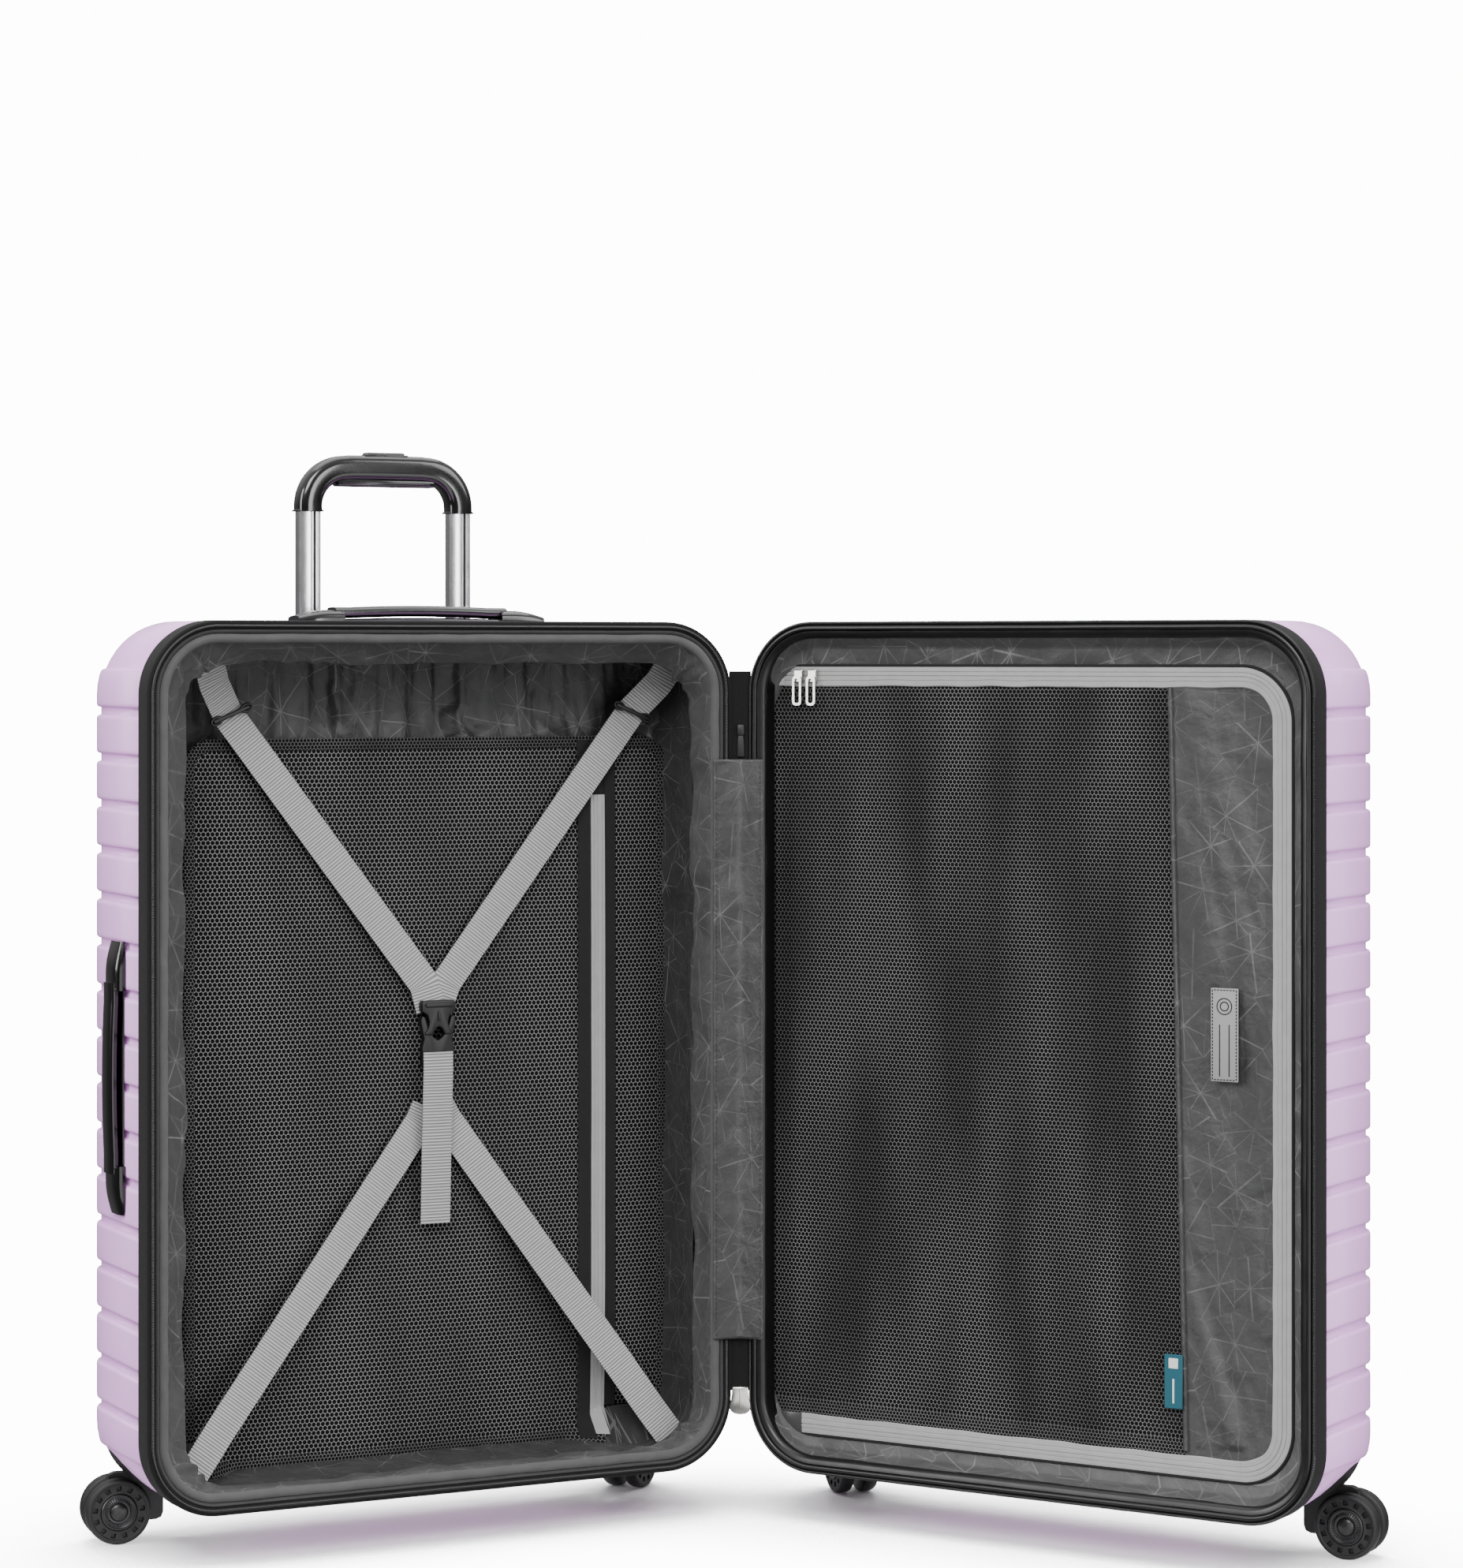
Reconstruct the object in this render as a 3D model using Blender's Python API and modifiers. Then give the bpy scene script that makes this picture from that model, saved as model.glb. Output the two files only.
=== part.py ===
"""Hard shell suitcase on four twin-wheel casters, standing open on its wheels.

World frame: +Z up, origin on the floor at the foot of the vertical lid hinge.
The rear half lies along -X with its opening facing -Y.
The lid turns about the hinge. Metres throughout.
"""
import math

import bmesh
import bpy
from mathutils import Matrix, Vector

# overall sizes
HALF_WIDTH = 0.499            # one half, across, at the rim
HALF_HEIGHT = 0.690           # one half, bottom to top, at the rim
GROUND_GAP = 0.040            # floor to the lowest edge of the shell
REAR_DEPTH = 0.163            # hinge plane to the back of the rear half
LID_DEPTH = 0.145             # hinge plane to the back of the lid
HINGE_OFFSET = 0.007          # hinge axis to the edge of each half
OPEN_ANGLE = 122.0            # degrees between the two halves as they stand
GAP = 0.0003                  # between touching pieces
SOFT_EDGE = 0.0004            # rounding on the edges of cloth pieces

# shells
WALL = 0.0024
CORNER_RADIUS = 0.058
BACK_RADIUS = 0.040
RIB_COUNT = 17
RIB_RISE = 0.0035
GROOVE_WIDTH = 0.0056
RIB_MARGIN_TOP = 0.0373       # rim top to the first rib
RIB_MARGIN_BOTTOM = 0.0389    # rim bottom to the last rib

# rims
RIM_SETBACK = 0.0012          # hinge plane to the front of each rim
BAND_DEPTH = 0.022
BAND_WIDTH = 0.0055
TAPE_WIDTH = 0.009
TAPE_THICKNESS = 0.0016

# linings and panels
LINING_GAP = 0.0060           # outside of the shell wall to the lining
LINING_THICKNESS = 0.0012
LINING_CORNER = 0.050
LINING_BACK_RADIUS = 0.035
REAR_LINING_BACK = 0.0315     # room behind the rear lining for the handle tubes
LID_LINING_BACK = 0.0100
PANEL_THICKNESS = 0.0016
PANEL_INSET = 0.0090          # rim edge to the edge of a panel
FLOOR_PANEL_LEVEL = 0.0990    # hinge plane to the face of the rear floor panel
FLOOR_PANEL_DROP = 0.095
FLOOR_PANEL_ROOM = 0.0040     # panel edge to the lining
FLOOR_PANEL_LIFT = 0.0060     # caster pocket to the foot of the panel
FLOOR_PANEL_CORNER = 0.022
FLOOR_ZIP_WIDTH = 0.012
FLOOR_ZIP_LENGTH = 0.470
FLOOR_ZIP_FOOT = 0.010        # foot of the panel to the foot of its zip
FLOOR_ZIP_SIDE = 0.085        # hinge axis to the zip
DIVIDER_LEVEL = 0.0250
ZIP_WIDTH = 0.0150
ZIP_THICKNESS = 0.0014
ZIP_EDGE = 0.0310             # rim edge to the outside of the divider zip, at the side and foot
ZIP_TOP_EDGE = 0.0365         # the same along the top
ZIP_TURN = 0.0460             # outer radius of the zip at its corners
DIVIDER_ROOM = 0.0030         # panel edge to the lining
SLIDER_START = 0.0360         # hinge side of the lid to the first slider
SLIDER_SPACING = 0.0130
SLIDER_WIDTH = 0.0090
SLIDER_THICKNESS = 0.0030
SLIDER_LENGTH = 0.0110
TAB_LENGTH = 0.0240
TAB_WIDTH = 0.0085
TAB_RIM = 0.0020
TAB_THICKNESS = 0.0018

# telescopic handle
TUBE_SPACING = 0.132
TUBE_MARGIN = 0.0215          # tube axis to the back of the shell
TUBE_WIDTH = 0.0190           # innermost tube, across the case
TUBE_DEPTH = 0.0120
TUBE_WALL = 0.0011
TUBE_CLEARANCE = 0.0006       # between nested tubes, each side
INNER_TUBE_LENGTH = 0.330
MIDDLE_TUBE_LENGTH = 0.330
OUTER_TUBE_FOOT = 0.100
BRACKET_HEIGHT = 0.014
BRACKET_OVERHANG = 0.022      # tube axis to the end of the bracket
BEZEL_WIDTH = 0.196
BEZEL_HEIGHT = 0.020
BEZEL_RISE = 0.0012           # bezel over the top of the shell
TUBE_HEADROOM = 0.0040        # bezel to the top of the outer tubes
GRIP_RISE = 0.136
GRIP_BAR = 0.021              # thickness of the grip
GRIP_LEG = 0.046              # grip top to the end of its legs
GRIP_BEND = 0.030
FINGER_PLATE = (0.088, 0.014, 0.007)
FINGER_PLATE_DROP = 0.0012    # underside of the bar to the middle of the finger plate
BUTTON_CLEARANCE = 0.0004     # each side
BUTTON_ROOM = 0.0110          # depth of the hollow under the button
BUTTON_WIDTH = 0.034
BUTTON_DEPTH = 0.011
BUTTON_RISE = 0.0030
BUTTON_HEIGHT = 0.0080

# carry handles
HANDLE_LENGTH = 0.212
HANDLE_WIDTH = 0.030
HANDLE_CAP = 0.038
HANDLE_CAP_RISE = 0.0085
HANDLE_PLATE = 0.0015
PLATE_INSET = 0.0030          # edge of the end caps to the edge of the plate
HANDLE_GRIP_RISE = 0.0125     # top of the arch over the shell
HANDLE_GRIP_THICKNESS = 0.0055
HANDLE_GRIP_WIDTH = 0.022
HANDLE_BACK = 0.068           # hinge plane to the middle of a carry handle
SIDE_HANDLE_LEVEL = 0.375

# casters
WHEEL_RADIUS = 0.026
WHEEL_WIDTH = 0.0125
WHEEL_SPACING = 0.0215        # centre to centre of the twin wheels
WHEEL_BORE = 0.0033
AXLE_RADIUS = 0.0030
BORE_DEPTH = 0.0100
CASTER_TRAIL = 0.029
CASTER_INSET = 0.046          # swivel axis to the side of the half
CASTER_BACK = 0.034           # swivel axis to the back of the half
POCKET_HEIGHT = 0.0360        # top of the caster pocket over the shell's lowest edge
POCKET_RADIUS = 0.040
POCKET_FLARE = 0.034          # how much wider the pocket is at the bottom
HOUSING_WALL = 0.0028
BOSS_RADIUS = 0.019
BOSS_FOOT = 0.0580            # underside of the boss over the floor
BOSS_BORE = 0.0110            # depth of the bore for the stem
STEM_RADIUS = 0.0050
STEM_CLEARANCE = 0.0005
STEM_LENGTH = 0.0120
STEM_RISE = 0.0100            # swivel plate to the end of the stem
FORK_REACH = 0.0160           # how much longer the fork is than the trail
FORK_FOOT = 0.0100            # axle to the lowest edge of the fork
FORK_CLEARANCE = 0.0006       # fork to each wheel
SWIVEL_PLATE = 0.0035

# straps
STRAP_WIDTH = 0.025
STRAP_THICKNESS = 0.0012
STRAP_LEVEL = 0.0880
STRAP_STEP = 0.0018           # each strap lies this far in front of the next
BUCKLE_SIDE = -0.021          # buckle from the middle of the rear half, towards the hinge
BUCKLE_LEVEL = 0.395
BUCKLE_WIDTH = 0.031
BUCKLE_THICKNESS = 0.0075
SOCKET_HEIGHT = 0.0300
PLUG_HEIGHT = 0.0180
STRAP_SPLAY = 0.0080          # strap ends from the middle of the buckle
STRAP_UPPER = 0.0240          # buckle to the foot of the upper straps
STRAP_LOWER = 0.0500          # buckle to the head of the lower straps
STRAP_HEAD = 0.0360           # top of the half to the sewn ends of the upper straps
STRAP_FOOT = 0.0080           # caster pocket to the sewn ends of the lower straps
STRAP_REACH = 0.0400          # side of the half to the sewn ends
TAIL_LENGTH = 0.1420

# hinge strip
FLAP_FOOT = 0.145
FLAP_DROP = 0.112
FLAP_WIDTH = 0.020
FLAP_THICKNESS = 0.0007
FLAP_LIFT = 0.0002            # hinge plane to the face of the flap
FLAP_SIDE = 0.0006            # hinge axis to each half of the flap
CLIP_SIZE = (0.0120, 0.0040, 0.0200)
CLIP_LEVEL = 0.0920

# sizes that follow from those above
TOP = GROUND_GAP + HALF_HEIGHT
MIDDLE = GROUND_GAP + HALF_HEIGHT / 2
FRONT = RIM_SETBACK + BAND_DEPTH + GAP
POCKET_TOP = GROUND_GAP + POCKET_HEIGHT
TUBE_BACK = REAR_DEPTH - TUBE_MARGIN
BEZEL_TOP = TOP + BEZEL_RISE
GRIP_TOP = TOP + GRIP_RISE
FLOOR_PANEL_TOP = TOP - FLOOR_PANEL_DROP
FLAP_TOP = TOP - FLAP_DROP
NEST = 2 * (TUBE_WALL + TUBE_CLEARANCE)
CASE = bpy.data.collections.new("hard_shell_suitcase")
CUTTERS = bpy.data.collections.new("cutters")


def clear_scene():
    for thing in list(bpy.data.objects):
        bpy.data.objects.remove(thing, do_unlink=True)
    bpy.context.scene.collection.children.link(CASE)
    bpy.context.scene.collection.children.link(CUTTERS)


def material(name, colour, roughness, metallic=0.0):
    made = bpy.data.materials.get(name)
    if made is None:
        made = bpy.data.materials.new(name)
        made.use_nodes = True
        shader = made.node_tree.nodes["Principled BSDF"]
        shader.inputs["Base Color"].default_value = (*colour, 1.0)
        shader.inputs["Roughness"].default_value = roughness
        shader.inputs["Metallic"].default_value = metallic
    return made


FINISHES = {
    "lilac_shell": ((0.62, 0.50, 0.66), 0.35, 0.0),
    "black_gloss": ((0.010, 0.010, 0.011), 0.18, 0.0),
    "black_matt": ((0.014, 0.014, 0.015), 0.5, 0.0),
    "black_tape": ((0.012, 0.012, 0.013), 0.85, 0.0),
    "grey_piping": ((0.11, 0.11, 0.115), 0.7, 0.0),
    "grey_lining": ((0.055, 0.055, 0.058), 0.65, 0.0),
    "dark_mesh": ((0.03, 0.03, 0.032), 0.8, 0.0),
    "grey_zip": ((0.36, 0.36, 0.37), 0.7, 0.0),
    "grey_webbing": ((0.30, 0.30, 0.30), 0.75, 0.0),
    "bright_aluminium": ((0.75, 0.75, 0.76), 0.22, 1.0),
    "zinc_puller": ((0.55, 0.55, 0.55), 0.3, 1.0),
    "steel_axle": ((0.5, 0.5, 0.5), 0.3, 1.0),
    "wheel_tyre": ((0.012, 0.012, 0.012), 0.45, 0.0),
}


def empty(name, parent=None, place=(0.0, 0.0, 0.0), turn=0.0):
    made = bpy.data.objects.new(name, None)
    CASE.objects.link(made)
    made.parent = parent
    made.location = place
    made.rotation_euler = (0.0, 0.0, turn)
    return made


def piece(name, mesh, finish, parent=None, place=(0.0, 0.0, 0.0), turn=(0.0, 0.0, 0.0)):
    """Put a mesh in the model as a named piece with its own material."""
    made = bpy.data.objects.new(name, mesh)
    mesh.name = name
    mesh.materials.clear()
    colour, roughness, metallic = FINISHES[finish]
    mesh.materials.append(material(f"{finish}_{name}", colour, roughness, metallic))
    made.location = place
    made.rotation_euler = turn
    made.parent = parent
    CASE.objects.link(made)
    return made


def cutter(name, mesh, parent=None, place=(0.0, 0.0, 0.0)):
    made = bpy.data.objects.new(name, mesh)
    made.location = place
    made.parent = parent
    made.hide_render = True
    made.display_type = "WIRE"
    CUTTERS.objects.link(made)
    return made


def boolean(target, other, operation="DIFFERENCE"):
    step = target.modifiers.new(other.name, "BOOLEAN")
    step.operation = operation
    step.object = other
    return step


def smooth(mesh, angle=40.0):
    mesh.shade_smooth()
    mesh.set_sharp_from_angle(angle=math.radians(angle))
    return mesh


def mesh_from(bm):
    mesh = bpy.data.meshes.new("mesh")
    bm.to_mesh(mesh)
    bm.free()
    return mesh


def box(size, centre=(0.0, 0.0, 0.0), bevel=0.0, segments=2, axis=None):
    """A box, with all its edges rounded or only those along one axis."""
    bm = bmesh.new()
    bmesh.ops.create_cube(bm, size=1.0)
    bmesh.ops.scale(bm, vec=size, verts=bm.verts)
    if bevel:
        edges = list(bm.edges)
        if axis is not None:
            edges = [e for e in edges if abs(e.verts[0].co[axis] - e.verts[1].co[axis]) > 1e-6]
        bmesh.ops.bevel(bm, geom=edges, offset=bevel, segments=segments, profile=0.5, affect="EDGES")
    bmesh.ops.translate(bm, vec=centre, verts=bm.verts)
    return mesh_from(bm)


def cylinder(radius, length, centre=(0.0, 0.0, 0.0), axis="Z", sides=24, far_radius=None, bevel=0.0):
    """A cylinder or cone along one axis; far_radius is the radius at the + end."""
    bm = bmesh.new()
    end = radius if far_radius is None else far_radius
    bmesh.ops.create_cone(bm, cap_ends=True, segments=sides, radius1=radius, radius2=end, depth=length)
    if bevel:
        rims = [e for e in bm.edges if abs(e.verts[0].co.z - e.verts[1].co.z) < 1e-6]
        bmesh.ops.bevel(bm, geom=rims, offset=bevel, segments=1, profile=0.5, affect="EDGES")
    turn = {"X": Matrix.Rotation(math.pi / 2, 3, "Y"), "Y": Matrix.Rotation(-math.pi / 2, 3, "X")}
    if axis in turn:
        bmesh.ops.rotate(bm, matrix=turn[axis], verts=bm.verts)
    bmesh.ops.translate(bm, vec=centre, verts=bm.verts)
    return mesh_from(bm)


def joined(*meshes):
    """Several overlapping closed meshes made one by Boolean unions."""
    base = bpy.data.objects.new("base", meshes[0])
    CUTTERS.objects.link(base)
    others = []
    for index, mesh in enumerate(meshes[1:]):
        other = bpy.data.objects.new(f"other_{index}", mesh)
        CUTTERS.objects.link(other)
        others.append(other)
        boolean(base, other, "UNION")
    return applied(base, others)


def less(mesh, *holes):
    """A closed mesh with others cut out of it."""
    base = bpy.data.objects.new("base", mesh)
    CUTTERS.objects.link(base)
    others = []
    for index, hole in enumerate(holes):
        other = bpy.data.objects.new(f"hole_{index}", hole)
        CUTTERS.objects.link(other)
        others.append(other)
        boolean(base, other)
    return applied(base, others)


def common(mesh, other_mesh):
    """The volume that two closed meshes share."""
    base = bpy.data.objects.new("base", mesh)
    other = bpy.data.objects.new("other", other_mesh)
    CUTTERS.objects.link(base)
    CUTTERS.objects.link(other)
    boolean(base, other, "INTERSECT")
    return applied(base, [other])


def applied(base, helpers):
    """The evaluated mesh of an object; the object and its helpers are removed."""
    bpy.context.view_layer.update()
    shown = base.evaluated_get(bpy.context.evaluated_depsgraph_get())
    mesh = bpy.data.meshes.new_from_object(shown)
    for thing in [base, *helpers]:
        bpy.data.objects.remove(thing, do_unlink=True)
    return mesh


def arc(centre, radius, start, end, steps):
    """Points on an arc, in degrees, both ends included."""
    angles = [math.radians(start + (end - start) * i / steps) for i in range(steps + 1)]
    return [(centre[0] + radius * math.cos(a), centre[1] + radius * math.sin(a)) for a in angles]


def rounded(width, height, radius, centre=(0.0, 0.0), steps=5):
    """A rounded rectangle outline, anticlockwise."""
    x = width / 2 - radius
    z = height / 2 - radius
    points = []
    for sx, sz, start in ((1, 1, 0), (-1, 1, 90), (-1, -1, 180), (1, -1, 270)):
        middle = (centre[0] + sx * x, centre[1] + sz * z)
        points += arc(middle, radius, start, start + 90, steps)
    return points


def plate(outlines, thickness, lie="XZ", level=0.0):
    """A flat plate with holes: the first outline is its edge, the others are holes."""
    curve = bpy.data.curves.new("plate", "CURVE")
    curve.dimensions = "2D"
    curve.fill_mode = "BOTH"
    curve.extrude = thickness / 2
    for points in outlines:
        spline = curve.splines.new("POLY")
        spline.points.add(len(points) - 1)
        for point, (a, b) in zip(spline.points, points):
            point.co = (a, b, 0.0, 1.0)
        spline.use_cyclic_u = True
    return from_curve(curve, lie, level)


def from_curve(curve, lie="XY", level=0.0):
    """A curve made a welded mesh, stood in the XZ plane where asked."""
    holder = bpy.data.objects.new("curve", curve)
    CUTTERS.objects.link(holder)
    mesh = applied(holder, [])
    bm = bmesh.new()
    bm.from_mesh(mesh)
    bmesh.ops.remove_doubles(bm, verts=bm.verts, dist=0.00001)
    if lie == "XZ":
        bmesh.ops.rotate(bm, matrix=Matrix.Rotation(math.pi / 2, 3, "X"), verts=bm.verts)
        bmesh.ops.translate(bm, vec=(0.0, level, 0.0), verts=bm.verts)
    else:
        bmesh.ops.translate(bm, vec=(0.0, 0.0, level), verts=bm.verts)
    bm.to_mesh(mesh)
    bm.free()
    return mesh


def ring(inset, width, depth, front):
    """A band that follows the rim of a half, its front face at y = front."""
    outer = rounded(HALF_WIDTH - 2 * inset, HALF_HEIGHT - 2 * inset, CORNER_RADIUS - inset, (0.0, MIDDLE))
    far = inset + width
    inner = rounded(HALF_WIDTH - 2 * far, HALF_HEIGHT - 2 * far, CORNER_RADIUS - far, (0.0, MIDDLE))
    return plate([outer, inner], depth, "XZ", front + depth / 2)


def rounded_half(width, height, front, back, corner, edge, steps=4):
    """A closed block with round corners and a round back edge, flat at the front."""
    bm = bmesh.new()
    bmesh.ops.create_cube(bm, size=1.0)
    bmesh.ops.scale(bm, vec=(width, back - front, height), verts=bm.verts)
    bmesh.ops.translate(bm, vec=(0.0, (front + back) / 2, MIDDLE), verts=bm.verts)
    along = [e for e in bm.edges if abs(e.verts[0].co.y - e.verts[1].co.y) > 1e-6]
    bmesh.ops.bevel(bm, geom=along, offset=corner, segments=steps, profile=0.5, affect="EDGES")
    behind = [e for e in bm.edges if min(v.co.y for v in e.verts) > back - 1e-6]
    bmesh.ops.bevel(bm, geom=behind, offset=edge, segments=3, profile=0.5, affect="EDGES")
    return bm


def raise_ribs(bm):
    """Cut the rib lines round the block and push the ribs out by RIB_RISE."""
    first = GROUND_GAP + RIB_MARGIN_BOTTOM
    pitch = (TOP - RIB_MARGIN_TOP - first + GROOVE_WIDTH) / RIB_COUNT
    ribs = []
    for index in range(RIB_COUNT):
        low = first + index * pitch
        high = low + pitch - GROOVE_WIDTH
        ribs.append((low, high))
        for level in (low - GROOVE_WIDTH / 2, low, high):
            slice_at(bm, level)
    slice_at(bm, ribs[-1][1] + GROOVE_WIDTH / 2)
    bm.normal_update()
    moves = []
    for vert in bm.verts:
        if any(low - 1e-5 < vert.co.z < high + 1e-5 for low, high in ribs):
            out = Vector((vert.normal.x, max(vert.normal.y, 0.0), 0.0))
            moves.append((vert, out.normalized() * RIB_RISE))
    for vert, move in moves:
        vert.co += move


def slice_at(bm, level):
    everything = list(bm.verts) + list(bm.edges) + list(bm.faces)
    bmesh.ops.bisect_plane(bm, geom=everything, plane_co=(0.0, 0.0, level), plane_no=(0.0, 0.0, 1.0))


def open_front(bm, front):
    faces = [f for f in bm.faces if max(v.co.y for v in f.verts) < front + 1e-6]
    bmesh.ops.delete(bm, geom=faces, context="FACES")


def shell_block(depth):
    width = HALF_WIDTH - 2 * RIB_RISE
    return rounded_half(width, HALF_HEIGHT, FRONT, depth - RIB_RISE, CORNER_RADIUS, BACK_RADIUS)


def shell(name, half, depth, holes):
    """A ribbed, vacuum-formed shell, open at the front, with its holes cut."""
    bm = shell_block(depth)
    open_front(bm, FRONT)
    raise_ribs(bm)
    made = piece(name, smooth(mesh_from(bm), 25.0), "lilac_shell", half)
    skin = made.modifiers.new("wall", "SOLIDIFY")
    skin.thickness = WALL
    skin.offset = -1.0
    for hole in holes:
        boolean(made, hole)
    return made


def pocket(grow=0.0, centre=(0.0, 0.0)):
    """The flared hollow at a lower corner where a caster sits; grow widens it."""
    foot = GROUND_GAP - 0.010
    height = POCKET_TOP + grow - foot
    flare = POCKET_FLARE * height / POCKET_HEIGHT
    middle = (centre[0], centre[1], foot + height / 2)
    top = POCKET_RADIUS + grow
    return cylinder(top + flare, height, middle, "Z", 28, far_radius=top)


def caster_places(depth):
    side = HALF_WIDTH / 2 - CASTER_INSET
    return [(-side, depth - CASTER_BACK), (side, depth - CASTER_BACK)]


def shell_holes(label, half, depth):
    return [
        cutter(f"{label}_pocket_{index}", pocket(0.0, place), half)
        for index, place in enumerate(caster_places(depth))
    ]


def rim(label, half):
    """The stiff band round the opening and the zip tape sewn to its front."""
    band = ring(0.0, BAND_WIDTH, BAND_DEPTH - TAPE_THICKNESS - GAP, RIM_SETBACK + TAPE_THICKNESS + GAP)
    piece(f"{label}_rim_band", smooth(band), "black_gloss", half)
    tape = ring(0.0005, TAPE_WIDTH, TAPE_THICKNESS, RIM_SETBACK)
    piece(f"{label}_zip_tape", smooth(tape), "black_tape", half)


def lining(label, half, depth, back):
    """The sewn lining: a thin open tub with room for the caster pockets."""
    width = HALF_WIDTH - 2 * (LINING_GAP + RIB_RISE)
    height = HALF_HEIGHT - 2 * LINING_GAP
    bm = rounded_half(width, height, FRONT, depth - back, LINING_CORNER, LINING_BACK_RADIUS)
    open_front(bm, FRONT)
    made = piece(f"{label}_lining", smooth(mesh_from(bm), 60.0), "grey_lining", half)
    skin = made.modifiers.new("cloth", "SOLIDIFY")
    skin.thickness = LINING_THICKNESS
    skin.offset = -1.0
    for index, place in enumerate(caster_places(depth)):
        boolean(made, cutter(f"{label}_lining_pocket_{index}", pocket(0.0015, place), half))
    return made


def floor_panel(half):
    """The mesh panel over the bottom of the rear half, and its upright zip."""
    inset = LINING_GAP + RIB_RISE + LINING_THICKNESS + FLOOR_PANEL_ROOM
    foot = POCKET_TOP + FLOOR_PANEL_LIFT
    centre = (0.0, (FLOOR_PANEL_TOP + foot) / 2)
    outline = rounded(HALF_WIDTH - 2 * inset, FLOOR_PANEL_TOP - foot, FLOOR_PANEL_CORNER, centre)
    panel = plate([outline], PANEL_THICKNESS, "XZ", FLOOR_PANEL_LEVEL + PANEL_THICKNESS / 2)
    piece("floor_mesh_panel", smooth(panel), "dark_mesh", half)
    face = FLOOR_PANEL_LEVEL - GAP - ZIP_THICKNESS / 2
    side = HALF_WIDTH / 2 + HINGE_OFFSET - FLOOR_ZIP_SIDE
    size = (FLOOR_ZIP_WIDTH, ZIP_THICKNESS, FLOOR_ZIP_LENGTH)
    strip = box(size, (side, face, foot + FLOOR_ZIP_FOOT + FLOOR_ZIP_LENGTH / 2), SOFT_EDGE, 1)
    piece("floor_panel_zip", strip, "grey_zip", half)


def tube_size(stage):
    """Outer width and depth of a tube; stage 0 is the innermost."""
    return TUBE_WIDTH + stage * NEST, TUBE_DEPTH + stage * NEST


def tube(stage, foot, top):
    """One rounded rectangular tube of the telescopic handle, open at both ends."""
    width, depth = tube_size(stage)
    bore_width = width - 2 * TUBE_WALL
    bore_depth = depth - 2 * TUBE_WALL
    outline = rounded(width, depth, 0.0035, steps=3)
    bore = rounded(bore_width, bore_depth, 0.0025, steps=3)
    return smooth(plate([outline, bore], top - foot, "XY", (foot + top) / 2))


def tube_sides():
    return (("left", -TUBE_SPACING / 2), ("right", TUBE_SPACING / 2))


def bezel_box(grow=0.0):
    """The block in the top of the case that the handle tubes come out of."""
    front = REAR_DEPTH - REAR_LINING_BACK + 0.0010
    back = REAR_DEPTH - 0.0030
    size = (BEZEL_WIDTH + 2 * grow, back - front + 2 * grow, BEZEL_HEIGHT + 2 * grow)
    centre = (0.0, (front + back) / 2, BEZEL_TOP - BEZEL_HEIGHT / 2)
    return box(size, centre, 0.004 + grow, 2, 2)


def handle_frame(half):
    """The fixed part of the telescopic handle: bezel, outer tubes and foot."""
    width, depth = tube_size(1)
    slots = []
    for _, side in tube_sides():
        size = (width + 2 * TUBE_CLEARANCE, depth + 2 * TUBE_CLEARANCE, 4 * BEZEL_HEIGHT)
        slots.append(box(size, (side, TUBE_BACK, TOP), 0.0035, 2, 2))
    piece("handle_bezel", smooth(less(bezel_box(), *slots)), "black_gloss", half)
    top = BEZEL_TOP - BEZEL_HEIGHT - TUBE_HEADROOM
    for name, side in tube_sides():
        mesh = tube(2, OUTER_TUBE_FOOT, top)
        piece(f"outer_tube_{name}", mesh, "bright_aluminium", half, (side, TUBE_BACK, 0.0))
    size = (TUBE_SPACING + 2 * BRACKET_OVERHANG, tube_size(2)[1], BRACKET_HEIGHT)
    foot = box(size, (0.0, TUBE_BACK, OUTER_TUBE_FOOT - GAP - BRACKET_HEIGHT / 2), 0.003, 2)
    piece("tube_foot_bracket", smooth(foot), "black_matt", half)


def grip_mesh():
    """The moulded grip: a round bar bent down into two legs."""
    half_span = TUBE_SPACING / 2
    level = GRIP_TOP - GRIP_BAR / 2
    foot = GRIP_TOP - GRIP_LEG
    right = arc((half_span - GRIP_BEND, level - GRIP_BEND), GRIP_BEND, 0, 90, 6)
    left = arc((GRIP_BEND - half_span, level - GRIP_BEND), GRIP_BEND, 90, 180, 6)
    points = [(half_span, foot)] + right + left + [(-half_span, foot)]
    curve = bpy.data.curves.new("grip", "CURVE")
    curve.dimensions = "3D"
    curve.bevel_depth = GRIP_BAR / 2
    curve.bevel_resolution = 3
    curve.use_fill_caps = True
    spline = curve.splines.new("POLY")
    spline.points.add(len(points) - 1)
    for point, (x, z) in zip(spline.points, points):
        point.co = (x, 0.0, z, 1.0)
    bar = from_curve(curve)
    finger_plate = box(FINGER_PLATE, (0.0, 0.0, GRIP_TOP - GRIP_BAR - FINGER_PLATE_DROP), 0.0015, 1)
    room_size = (BUTTON_WIDTH + 2 * BUTTON_CLEARANCE, BUTTON_DEPTH + 2 * BUTTON_CLEARANCE, 2 * BUTTON_ROOM)
    room = box(room_size, (0.0, 0.0, GRIP_TOP), 0.002, 2, 2)
    return smooth(less(joined(bar, finger_plate), room), 50.0)


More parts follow.
